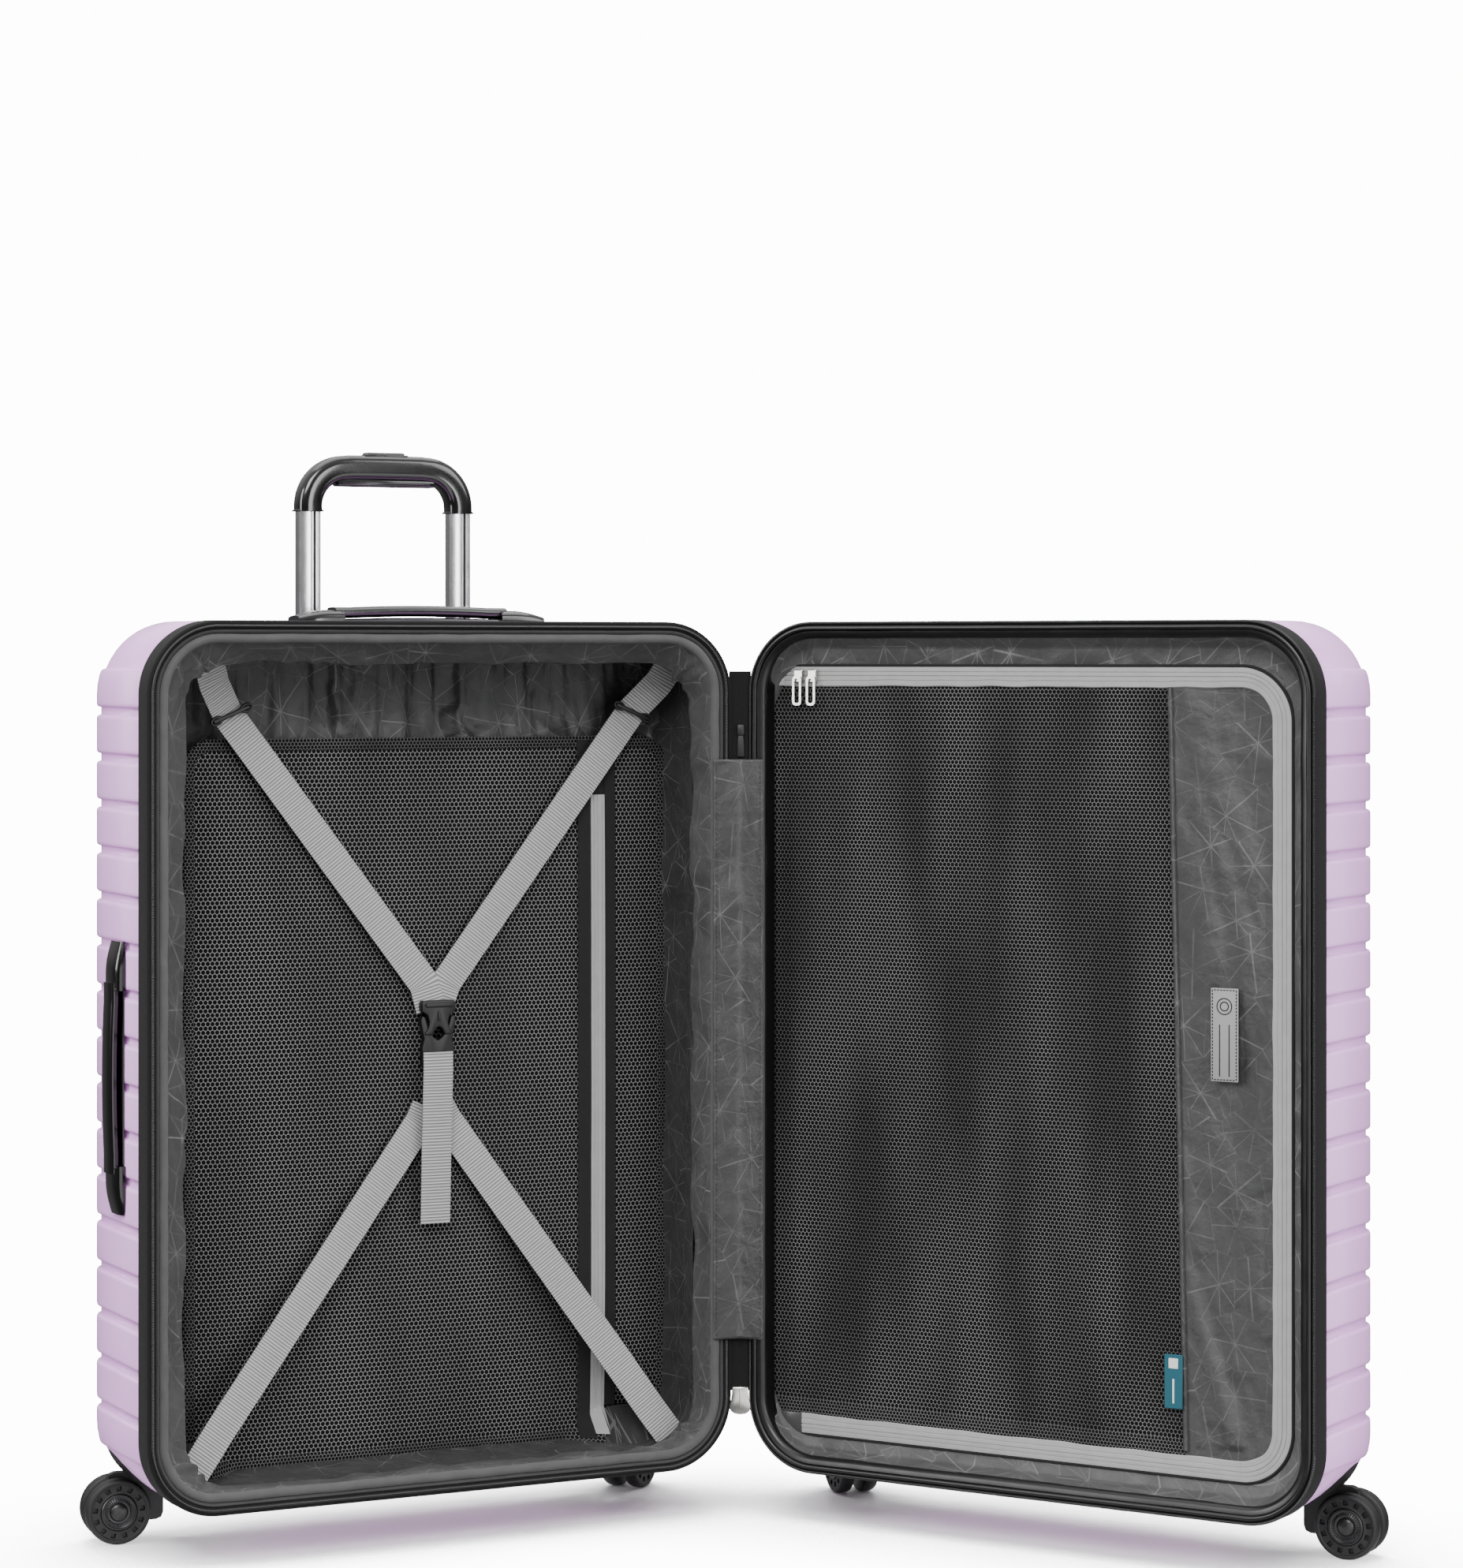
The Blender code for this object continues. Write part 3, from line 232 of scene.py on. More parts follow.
looks = {
    "shell": shellFinish(),
    "band": fabric("darkBandCloth", "#0B0B0B", "#070707", 0.85, 0.0012),
    "tape": fabric("blackZipTape", "#0B0B0C", "#070708", 0.8, 0.0009),
    "teeth": plastic("blackNylonCoil", "#0A0A0A", 0.35),  # coil zip: small bright glints on each tooth
    "piping": fabric("greyFelt", "#555555", "#464646", 0.95, 0.0011, 0.15),
    "binding": fabric("greyBinding", "#3F3F3F", "#343434", 0.7, 0.0009),
    "darkBinding": fabric("darkBinding", "#1C1C1C", "#151515", 0.7, 0.0009),
    "satin": starSatin("greyStarSatin", "#505050", "#363636", "#787878", 0.33),
    "darkSatin": starSatin("darkStarSatin", "#424242", "#202020", "#646464", 0.24),
    "strip": starSatin("stripStarSatin", "#343434", "#242424", "#585858", 0.30),
    # each net: its thread grey, the grey of its painted fold shade, and its holes' painted shade
    "net": netFinish("greyNet", 0.0038, "#7A7A7A", "#6C6C6C", "#050505"),
    "fineNet": netFinish("fineGreyNet", 0.0035, "#6C6C6C", "#484848", "#050505"),
    "denseNet": netFinish("denseGreyNet", 0.0030, "#6A6A6A", "#585858", "#0A0A0A"),
    "webbing": webbingFinish(),
    "zip": fabric("greyZipTape", "#A4A4A4", "#949494", 0.72, 0.0011),
    "bead": plastic("blackVinylBead", "#050505", 0.34, **{"IOR": 1.5}),
    "gloss": plastic("glossBlackPlastic", "#040404", 0.15, **{"IOR": 1.5, "Coat Weight": 0.4, "Coat Roughness": 0.08}),
    "buttonGrey": plastic("buttonGrey", "#2E2E2E", 0.35),
    "matt": plastic("mattBlackPlastic", "#080808", 0.50, 0.00005),
    "aluminium": metal("anodisedAluminium", "#DADADC", 0.20),
    "zinc": metal("platedZinc", "#C9C8C3", 0.24),
    "steel": metal("steel", "#B5B5B5", 0.3),
    "tyre": plastic("blackUrethane", "#050505", 0.50, 0.00004),
    "hub": plastic("hubPlastic", "#171717", 0.30, 0.00003),
    "label": plastic("greyLeatherette", "#868686", 0.6, 0.00012),
    "tag": fabric("tealTag", "#1E5563", "#1A4A57", 0.6, 0.0008),
    "pale": fabric("paleThread", "#D8D8D8", "#C6C6C6", 0.7, 0.0008),
}
print("finishes made")


def linked(name, data, place=None):  # a new object in the scene
    made = bpy.data.objects.new(name, data)
    bpy.context.scene.collection.objects.link(made)
    if place is not None:
        made.matrix_world = place
    return made


def finished(holder):  # an object's mesh with its modifiers worked in
    bpy.context.view_layer.update()
    return bpy.data.meshes.new_from_object(holder.evaluated_get(bpy.context.evaluated_depsgraph_get()))


def asMesh(bm, name):
    mesh = bpy.data.meshes.new(name)
    bm.to_mesh(mesh)
    bm.free()
    return mesh


def put(name, mesh, look, body, place=None, angle=40.0, replaces=(), slot=None):  # a finished piece that rides a body
    made = linked(name, mesh, place)
    mesh.materials.clear()
    mesh.materials.append(looks[look])
    bm = bmesh.new()
    bm.from_mesh(mesh)
    bmesh.ops.recalc_face_normals(bm, faces=bm.faces)
    bm.to_mesh(mesh)
    bm.free()
    mesh.shade_smooth()
    mesh.set_sharp_from_angle(angle=math.radians(angle))
    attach(made, body)
    if replaces:
        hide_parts(*replaces)
    return made


def gridMesh(points, closeRows=False, closeColumns=False, flip=False, ends=False):  # rows by columns of points as quads
    rows, columns = points.shape[:2]
    index = np.arange(rows * columns).reshape(rows, columns)
    if closeRows:
        index = np.vstack([index, index[:1]])
    if closeColumns:
        index = np.hstack([index, index[:, :1]])
    a, b, c, d = index[:-1, :-1], index[1:, :-1], index[1:, 1:], index[:-1, 1:]
    quads = np.stack([a, b, c, d], -1).reshape(-1, 4)
    if flip:
        quads = quads[:, ::-1]
    faces = quads.tolist()
    if ends:
        faces += [index[0, :-1].tolist()[::1 if flip else -1], index[-1, :-1].tolist()[::-1 if flip else 1]]
    mesh = bpy.data.meshes.new("grid")
    mesh.from_pydata(points.reshape(-1, 3).tolist(), [], faces)
    full = np.vstack([points, points[:1]]) if closeRows else points
    full = np.hstack([full, full[:, :1]]) if closeColumns else full
    down = np.linalg.norm(np.diff(full, axis=0), axis=2)
    over = np.linalg.norm(np.diff(full, axis=1), axis=2)
    down = np.vstack([np.zeros((1, full.shape[1])), np.cumsum(down, 0)]).mean(1)
    over = np.hstack([np.zeros((full.shape[0], 1)), np.cumsum(over, 1)]).mean(0)
    r, k = full.shape[0] - 1, full.shape[1] - 1
    i, j = np.meshgrid(np.arange(r), np.arange(k), indexing="ij")
    corners = [(i, j), (i + 1, j), (i + 1, j + 1), (i, j + 1)]
    uv = np.stack([np.stack([down[x], over[y]], -1) for x, y in corners], 2).reshape(-1, 4, 2)
    if flip:
        uv = uv[:, ::-1]
    layer = mesh.uv_layers.new(name="UVMap")
    flat = np.zeros((len(mesh.loops), 2))
    flat[:len(uv) * 4] = uv.reshape(-1, 2)
    layer.data.foreach_set("uv", flat.ravel())
    return mesh


def loop(left, right, foot, top, radius, counts=(20, 110, 150)):  # a rounded rectangle in x and z, with outward normals
    corner, across, upright = counts
    points, normals = [], []
    middles = [(right - radius, foot + radius, 270), (right - radius, top - radius, 0),
               (left + radius, top - radius, 90), (left + radius, foot + radius, 180)]
    for number, (x, z, start) in enumerate(middles):
        turn = np.radians(start + np.linspace(0, 90, corner))
        out = np.stack([np.cos(turn), np.sin(turn)], 1)
        points.append(np.array([x, z]) + radius * out)
        normals.append(out)
        following = middles[(number + 1) % 4]
        step = np.linspace(0, 1, upright if number % 2 == 0 else across)[1:-1, None]
        begin = points[-1][-1]
        end = np.array(following[:2]) + radius * out[-1]
        points.append(begin + (end - begin) * step)
        normals.append(np.repeat(out[-1:], len(step), 0))
    return np.vstack(points), np.vstack(normals)


def rimLoop(inset, counts=(20, 110, 150)):
    radius = max(case["corner"] - inset, 0.006)
    return loop(inset - side, side - inset, case["foot"] + inset, case["top"] - inset, radius, counts)


def swept(profile, counts=(20, 110, 150), wobble=None):  # a profile of (inset, y) carried round the rim
    rows = []
    for inset, depth in profile:
        flat, _ = rimLoop(inset, counts)
        rows.append(np.stack([flat[:, 0], np.full(len(flat), depth), flat[:, 1]], 1))
    points = np.stack(rows, 1)
    if wobble is not None:
        points = points + wobble(points)
    return points


def roughness3(points, size, seed=0.0):  # smooth noise at each point, about -1 to 1
    flat = points.reshape(-1, 3) / size + seed
    values = [noise.noise(Vector(p)) for p in flat]
    return np.array(values).reshape(points.shape[:-1])


def boxMesh(size, centre=(0, 0, 0), bevel=0.0, segments=3):
    bm = bmesh.new()
    bmesh.ops.create_cube(bm, size=1.0)
    bmesh.ops.scale(bm, vec=size, verts=bm.verts)
    if bevel:
        bmesh.ops.bevel(bm, geom=list(bm.edges), offset=bevel, segments=segments, profile=0.5, affect="EDGES")
    bmesh.ops.translate(bm, vec=centre, verts=bm.verts)
    return asMesh(bm, "box")


def merged(*meshes):  # several meshes as one
    bm = bmesh.new()
    for mesh in meshes:
        bm.from_mesh(mesh)
        bpy.data.meshes.remove(mesh)
    return asMesh(bm, "merged")


def moved(mesh, matrix):
    mesh.transform(matrix)
    return mesh


def lathe(profile, sides):  # a profile of (distance along, radius) turned round the y axis
    turn = np.linspace(0, math.tau, sides, endpoint=False)
    points = np.array([[(r * math.cos(t), a, r * math.sin(t)) for a, r in profile] for t in turn])
    return gridMesh(points, closeRows=True, flip=True)


def tube(path, profile, closed=False, up=(0, 1, 0)):  # a closed profile of (sideways, up) swept along a path
    path = np.array(path, float)
    step = np.gradient(path, axis=0)
    if closed:
        step = (np.roll(path, -1, 0) - np.roll(path, 1, 0))
    step /= np.linalg.norm(step, axis=1, keepdims=True)
    upward = np.array(up, float)
    across = np.cross(step, upward)
    across /= np.linalg.norm(across, axis=1, keepdims=True)
    rise = np.cross(across, step)
    shape = np.array(profile, float)
    points = path[:, None] + across[:, None] * shape[None, :, :1] + rise[:, None] * shape[None, :, 1:2]
    return gridMesh(points, closeRows=closed, closeColumns=True, ends=not closed)


def roundProfile(width, height, power=2.0, count=24):  # a superellipse; a high power gives a squarer bar
    turn = np.linspace(0, math.tau, count, endpoint=False)
    c, s = np.cos(turn), np.sin(turn)
    wide, high = (np.sign(v) * abs(v) ** (2 / power) for v in (c, s))
    return np.stack([width / 2 * wide, height / 2 * high], 1)


shellLook = {"ribs": 17, "rise": 0.0035, "groove": 0.0056, "topMargin": 0.0373, "footMargin": 0.0389, "wall": 0.0024,
             "backRadius": 0.040, "pocketTop": 0.076, "pocketRadius": 0.040, "pocketFlare": 0.034, "pocketFoot": 0.028,
             "guardFoot": 0.0535, "casterIn": 0.046, "casterBack": 0.034}


def casterPlaces(depth):
    inward, y = shellLook["casterIn"], depth - shellLook["casterBack"]
    return [(inward - side, y), (side - inward, y)]


def pocketRadius(z, grow=0.0):
    slope = shellLook["pocketFlare"] / 0.036
    return shellLook["pocketRadius"] + grow + slope * (shellLook["pocketTop"] + grow - z)


def ribbedBlock(depth):  # the closed outer form of a half with its raised ribs
    rise, groove = shellLook["rise"], shellLook["groove"]
    bm = bmesh.new()
    bmesh.ops.create_cube(bm, size=1.0)
    high = case["top"] - case["foot"]
    bmesh.ops.scale(bm, vec=(2 * (side - rise), depth - rise - case["front"], high), verts=bm.verts)
    middle = (0.0, (depth - rise + case["front"]) / 2, case["foot"] + high / 2)
    bmesh.ops.translate(bm, vec=middle, verts=bm.verts)
    along = [e for e in bm.edges if abs(e.verts[0].co.y - e.verts[1].co.y) > 1e-6]
    bmesh.ops.bevel(bm, geom=along, offset=case["corner"], segments=12, profile=0.5, affect="EDGES")
    back = depth - rise - 1e-6
    behind = [e for e in bm.edges if min(v.co.y for v in e.verts) > back]
    bmesh.ops.bevel(bm, geom=behind, offset=shellLook["backRadius"], segments=9, profile=0.5, affect="EDGES")
    first = case["foot"] + shellLook["footMargin"]
    pitch = (case["top"] - shellLook["topMargin"] - first + groove) / shellLook["ribs"]
    steps = ((0.0, 0.0), (0.0004, 0.45), (0.0011, 0.8), (0.0022, 0.97), (0.0040, 1.0))
    levels, rises = [first - groove / 2], [0.0]
    for index in range(shellLook["ribs"]):
        low = first + index * pitch
        high = low + pitch - groove
        levels += [low + d for d, _ in steps] + [high - d for d, _ in reversed(steps)] + [high + groove / 2]
        rises += [r for _, r in steps] + [r for _, r in reversed(steps)] + [0.0]
    for level in levels:
        everything = list(bm.verts) + list(bm.edges) + list(bm.faces)
        bmesh.ops.bisect_plane(bm, geom=everything, plane_co=(0, 0, level), plane_no=(0, 0, 1))
    bm.normal_update()
    pushes = []
    for vert in bm.verts:
        amount = float(np.interp(vert.co.z, levels, rises, left=0.0, right=0.0))
        out = Vector((vert.normal.x, max(vert.normal.y, 0.0), 0.0))
        if amount > 0 and out.length > 1e-6:
            pushes.append((vert, out.normalized() * rise * amount))
    for vert, push in pushes:
        vert.co += push
    return bm


def guardMesh(solid, place, depth):  # the shell's corner over each caster, moulded in black above the wheels' swing
    cones = [coneMesh(x, y, shellLook["guardFoot"], shellLook["pocketTop"]) for x, y in casterPlaces(depth)]
    holder, cutter = linked("guard", solid, place), linked("guardCutter", merged(*cones), place)
    keep = holder.modifiers.new("keep", "BOOLEAN")
    keep.object, keep.operation = cutter, "INTERSECT"
    mesh = finished(holder)
    for thing in (holder, cutter):
        bpy.data.objects.remove(thing)
    return mesh


def coneMesh(x, y, foot, top):
    cone = bmesh.new()
    bmesh.ops.create_cone(cone, cap_ends=True, segments=72, radius1=pocketRadius(foot), radius2=pocketRadius(top),
                          depth=top - foot)
    bmesh.ops.translate(cone, vec=(x, y, (foot + top) / 2), verts=cone.verts)
    return asMesh(cone, "hole")


def makeShell(label):
    place, body, depth = halves[label]
    bm = ribbedBlock(depth)
    front = [f for f in bm.faces if max(v.co.y for v in f.verts) < case["front"] + 1e-6]
    bmesh.ops.delete(bm, geom=front, context="FACES")
    made = put(f"{label}Shell", asMesh(bm, "shell"), "shell", body, place, 38.0, (f"{label}_shell",), "shell")
    wall = made.modifiers.new("wall", "SOLIDIFY")
    wall.thickness = shellLook["wall"]
    wall.offset = -1.0
    put(f"{label}CornerGuards", guardMesh(finished(made), place, depth), "matt", body, place, 38)
    holes = [coneMesh(x, y, shellLook["pocketFoot"], shellLook["pocketTop"]) for x, y in casterPlaces(depth)]
    if label == "rear":
        holes.append(boxMesh((0.1966, 0.0280, 0.030), (0, 0.1463, 0.726), 0.004))  # the slot for the handle's bezel
    cutters = [linked("hole", hole, place) for hole in holes]
    for cutter in cutters:
        made.modifiers.new("cut", "BOOLEAN").object = cutter
    final = finished(made)
    made.modifiers.clear()
    made.data = final
    for cutter in cutters:
        bpy.data.objects.remove(cutter)


for label in halves:
    makeShell(label)
print("shells made")


zipLook = {"toothPitch": 0.0013, "toothRise": 0.0005}


def toothed(inset, width, depth, height, outward=0.0):  # a zip coil: a rounded strip with a rib for each tooth
    perimeter = 2 * (2 * side + case["top"] - case["foot"]) - 0.1
    count = int(perimeter / zipLook["toothPitch"]) * 4
    share = [int(count * 0.04), int(count * 0.19), int(count * 0.27)]
    profile = [(inset + width * t, depth - height * math.sin(math.pi * t)) for t in (0, 0.15, 0.35, 0.65, 0.85, 1)]
    points = swept(profile, share)
    lengths = np.linalg.norm(np.diff(points[:, 2], axis=0), axis=1)
    run = np.concatenate([[0], np.cumsum(lengths)])
    rib = (np.mod(run, zipLook["toothPitch"]) < zipLook["toothPitch"] * 0.5).astype(float) * zipLook["toothRise"]
    middle = np.array([0, 0.7, 1, 1, 0.7, 0])
    points[:, :, 1] -= rib[:, None] * middle
    if outward:
        _, normal = rimLoop(inset, share)
        points[:, :3, 0] += (normal[:, 0] * rib)[:, None] * outward
        points[:, :3, 2] += (normal[:, 1] * rib)[:, None] * outward
    return gridMesh(points, closeRows=True)


def soften(points, size, amount, seed):  # a little unevenness, as sewn cloth has
    extra = np.zeros_like(points)
    extra[..., 1] = amount * roughness3(points, size, seed)
    extra[..., 0] = amount * 0.5 * roughness3(points, size, seed + 7)
    extra[..., 2] = amount * 0.5 * roughness3(points, size, seed + 13)
    return extra


rimLook = {"pipingRadius": 0.0036, "pipingInset": 0.0138, "beadRadius": 0.0021, "beadInset": 0.0052}


def beadProfile(inset, depth, radius, count=12, start=0, end=360):
    turn = np.radians(np.linspace(start, end, count, endpoint=end - start < 360))
    return [(inset - radius * math.cos(t), depth - radius * math.sin(t)) for t in turn]


def makeRims():
    place, body = halves["rear"][:2]
    band = [(0.0030, 0.0236), (0.0, 0.0236), (-0.0002, 0.0225), (0.0001, 0.0140), (0.0, 0.0040), (0.0005, 0.0020),
            (0.0016, 0.0012), (0.0030, 0.0014), (0.0034, 0.0040)]
    put("rearRimBand", gridMesh(swept(band), closeRows=True), "band", body, place, 60, ("rear_rim_band",),
        "gloss_black")
    tape = [(0.0026, 0.0030), (0.0030, 0.0014), (0.0046, 0.0016), (0.0062, 0.0018), (0.0072, 0.0034), (0.0080, 0.0060)]
    put("rearZipTape", gridMesh(swept(tape), closeRows=True), "tape", body, place, 60, ("rear_zip_tape",), "zip_tape")
    put("rearZipTeeth", toothed(0.0030, 0.0030, 0.0014, 0.0012), "teeth", body, place, 60)
    edge = [(0.0068, 0.0060), (0.0072, 0.0026), (0.0082, 0.0016), (0.0096, 0.0022), (0.0101, 0.0036), (0.0106, 0.0060)]
    put("rearRimBinding", gridMesh(swept(edge, wobble=lambda p: soften(p, 0.03, 0.0004, 3)), closeRows=True),
        "binding", body, place, 60)
    felt = beadProfile(rimLook["pipingInset"], 0.0046, rimLook["pipingRadius"], 14, -40, 215)
    put("rearPiping", gridMesh(swept(felt, wobble=lambda p: soften(p, 0.022, 0.0009, 5)), closeRows=True), "piping",
        body, place, 60)
    place, body = halves["lid"][:2]
    band = [(0.0030, 0.0236), (0.0, 0.0236), (-0.0002, 0.0225), (0.0001, 0.0140), (0.0, 0.0040), (0.0004, 0.0026)]
    put("lidRimBand", gridMesh(swept(band), closeRows=True), "band", body, place, 60, ("lid_rim_band",), "gloss_black")
    tape = [(0.0002, 0.0032), (0.0014, 0.0026), (0.0026, 0.0026), (0.0034, 0.0030), (0.0040, 0.0044)]
    put("lidZipTape", gridMesh(swept(tape), closeRows=True), "tape", body, place, 60, ("lid_zip_tape",), "zip_tape")
    put("lidZipTeeth", toothed(0.0001, 0.0024, 0.0026, 0.0013, 1.0), "teeth", body, place, 60)
    bead = beadProfile(rimLook["beadInset"], 0.0026, rimLook["beadRadius"], 16)
    put("lidBead", gridMesh(swept(bead, wobble=lambda p: soften(p, 0.05, 0.0003, 9)), closeRows=True,
                            closeColumns=True), "bead", body, place, 60)
    inner = [(0.0070, 0.0040), (0.0076, 0.0028), (0.0104, 0.0032), (0.0128, 0.0046), (0.0138, 0.0080), (0.0140, 0.0200)]
    put("lidRimLining", gridMesh(swept(inner, wobble=lambda p: soften(p, 0.04, 0.0005, 11)), closeRows=True), "bead",
        body, place, 60)


makeRims()
print("rims made")


def clearCasters(points, label, room=0.004):  # keeps cloth outside the caster pockets that bulge into each half
    flat = points.reshape(-1, 3).copy()
    top = shellLook["pocketTop"] + room
    for x, y in casterPlaces(halves[label][2]):
        offset = flat[:, :2] - (x, y)
        away = np.linalg.norm(offset, axis=1)
        radius = np.array([pocketRadius(z, room) for z in flat[:, 2]])
        inside = (flat[:, 2] < top) & (away < radius)
        lift = top - flat[:, 2]
        push = radius - away
        upward = inside & (lift < push)
        flat[upward, 2] = top
        outward = inside & ~upward
        flat[outward, 1] -= push[outward]
    return flat.reshape(points.shape)


def between(first, second, steps):  # rings that run from one loop of points to another
    return [first + (second - first) * t for t in np.linspace(0, 1, steps)]


def ringAt(flat, depth):
    return np.stack([flat[:, 0], np.full(len(flat), depth), flat[:, 1]], 1)


def planar(mesh):  # reads the pattern straight on from the front, in metres
    layer = mesh.uv_layers.active or mesh.uv_layers.new(name="UVMap")
    for loopPart in mesh.loops:
        co = mesh.vertices[loopPart.vertex_index].co
        layer.data[loopPart.index].uv = (co.x, co.z)
    return mesh


def sheetGrid(left, right, foot, top, radius, across, upright, depth):  # a rounded panel; depth(x, z) gives y
    rows = []
    for z in np.linspace(foot, top, upright):
        near = min(z - foot, top - z, radius)
        cut = radius - math.sqrt(max(radius * radius - (radius - near) ** 2, 0.0)) if radius else 0.0
        x = np.linspace(left + cut, right - cut, across)
        rows.append([(a, depth(a, z), z) for a in x])
    return np.array(rows)


def creased(points, seed, along=0.09, thin=0.018, amount=0.0022):  # long soft folds with sharper ridges
    flat = points.reshape(-1, 3)
    out = []
    for x, y, z in flat:
        bend = noise.noise(Vector((x / along, y / along, z / along + seed))) * 2.2
        ridge = noise.noise(Vector(((x + 0.3 * z) / thin * 0.5 + bend, (z - 0.2 * x) / (thin * 3.2), seed)))
        out.append(abs(ridge) ** 0.8 * math.copysign(1, ridge) + 0.6 * bend)
    return np.array(out).reshape(points.shape[:-1]) * amount


liningLook = {"border": (-0.2100, 0.2275, 0.0570, 0.6960), "borderDepth": 0.030, "back": 0.1310}


def makeRearLining():
    place, body = halves["rear"][:2]
    counts = (40, 170, 240)
    rim, out = rimLoop(0.0166, counts)
    left, right, foot, top = liningLook["border"]
    fold, _ = loop(left, right, foot, top, 0.030, counts)
    rings = between(ringAt(rim, 0.0040), ringAt(rim - out * 0.0015, 0.0090), 4)
    rings += between(ringAt(rim - out * 0.0015, 0.0090), ringAt(fold, liningLook["borderDepth"]), 14)[1:]
    rings += between(ringAt(fold, liningLook["borderDepth"]), ringAt(fold + out * 0.006, 0.036), 4)[1:]
    points = np.stack(rings, 1)
    share = np.sin(np.linspace(0.1, 2.6, points.shape[1]))[None, :]
    corner = np.abs(out[:, :1] * out[:, 1:]) * 2
    folds = creased(points, 4.0, 0.07, 0.015, 0.0040) * (0.7 + 1.8 * corner)
    steps = np.cumsum(np.ones(len(out)))[:, None]
    gather = np.sin(steps * 0.55 + 3 * roughness3(points, 0.02, 2)) * corner ** 2 * 0.0026  # pleats round the corners
    push = (folds + gather) * share
    points[..., 0] -= out[:, :1] * push
    points[..., 2] -= out[:, 1:] * push
    points[..., 1] += push * 0.5
    border = put("rearLiningBorder", gridMesh(points, closeRows=True), "satin", body, place, 80, ("rear_lining",),
                 "lining_cloth")
    deep, _ = rimLoop(0.0130, counts)
    wall = [ringAt(fold + out * 0.004, 0.034), ringAt(deep, 0.060), ringAt(deep, 0.092)]
    rings = between(wall[0], wall[1], 6) + between(wall[1], wall[2], 6)[1:]
    low, _ = rimLoop(0.0240, counts)
    back, _ = rimLoop(0.0440, counts)
    rings += between(wall[2], ringAt(low, 0.122), 6)[1:]
    rings += between(ringAt(low, 0.122), ringAt(back, liningLook["back"]), 4)[1:]
    points = np.stack(rings, 1)
    points[:, 1:-2, 1] += creased(points, 9.0, 0.08, 0.02, 0.0015)[:, 1:-2]
    shift = creased(points, 6.0, 0.08, 0.02, 0.0016)
    points[..., 0] -= out[:, :1] * abs(shift)
    points[..., 2] -= out[:, 1:] * abs(shift)
    points = clearCasters(points, "rear", 0.0035)
    mesh = gridMesh(points, closeRows=True)
    bm = bmesh.new()
    bm.from_mesh(mesh)
    bm.verts.ensure_lookup_table()
    n = points.shape[1]
    bm.faces.new([bm.verts[i * n + n - 1] for i in range(points.shape[0])])
    bm.to_mesh(mesh)
    bm.free()
    tub = put("rearLining", mesh, "darkSatin", body, place, 80)


def simulated(obj, pinned, frames, extra):  # lets loose cloth buckle between its sewn edges; returns where it settles
    group = obj.vertex_groups.new(name="sewn")
    for index, weight in enumerate(pinned):
        if weight > 0:
            group.add([index], float(weight), "REPLACE")
    cloth = obj.modifiers.new("cloth", "CLOTH")
    values = {"quality": 6, "mass": 0.12, "tension_stiffness": 25, "compression_stiffness": 25, "shear_stiffness": 8,
              "bending_stiffness": 0.25, "tension_damping": 8, "air_damping": 2.5, "vertex_group_mass": "sewn",
              "pin_stiffness": 1.0, "shrink_min": -extra, "shrink_max": -extra}
    for key, value in values.items():
        setattr(cloth.settings, key, value)
    cloth.collision_settings.use_collision = False
    cloth.collision_settings.use_self_collision = False
    cloth.point_cache.frame_start, cloth.point_cache.frame_end = 1, frames
    scene = bpy.context.scene
    for step in range(1, frames + 1):
        scene.frame_set(step)
    shown = obj.evaluated_get(bpy.context.evaluated_depsgraph_get())
    settled = np.array([v.co for v in shown.data.vertices])
    obj.modifiers.remove(cloth)
    scene.frame_set(1)
    return settled


upperLook = {"left": -0.2280, "right": 0.2370, "foot": 0.6060, "top": 0.7080, "slack": 0.08, "limits": (-0.022, 0.008),
             "frames": 26}


def upperDepth(x, z):
    return 0.111 + 0.006 * min(max((z - 0.62) / 0.08, 0), 1) - 0.010 * (x / 0.235) ** 4


def makeUpperLining():  # the dark lining above the floor panel, which hangs in big folds
    place, body = halves["rear"][:2]
    u = upperLook
    rest = sheetGrid(u["left"], u["right"], u["foot"], u["top"], 0.0, 150, 40, upperDepth)
    start = rest.copy()
    start[..., 1] += 0.0015 * roughness3(rest, 0.02, 1) + 0.009 * roughness3(rest, 0.06, 4)
    mesh = gridMesh(start)
    made = put("upperLining", mesh, "darkSatin", body, place, 80)
    edge = np.zeros(rest.shape[:2])
    edge[0], edge[-1], edge[:, 0], edge[:, -1] = 1, 1, 1, 1
    move = simulated(made, edge.ravel(), u["frames"], u["slack"]).reshape(rest.shape) - rest
    move[..., 1] = np.clip(move[..., 1], *u["limits"])
    move[:, [0, -1], 1] = 0
    mesh.vertices.foreach_set("co", (rest + move).ravel())
    mesh.update()
    print("upper lining settled")


panelLook = {"left": -0.1870, "right": 0.2365, "foot": 0.0545, "top": 0.6350, "radius": 0.024, "depth": 0.0990,
             "zipSide": 0.1715, "zipFoot": 0.060, "zipTop": 0.5875}


def panelDepth(x, z):
    p = panelLook
    u = (x - p["left"]) / (p["right"] - p["left"])
    v = (z - p["foot"]) / (p["top"] - p["foot"])
    swell = 0.006 * (math.sin(math.pi * min(max(u, 0), 1)) * math.sin(math.pi * min(max(v, 0), 1))) ** 0.5
    ripple = 0.0012 * noise.noise(Vector((x / 0.05, z / 0.12, 1.7)))
    return p["depth"] - swell + ripple


def hugging(points, label):
    return clearCasters(points, label, 0.0045)


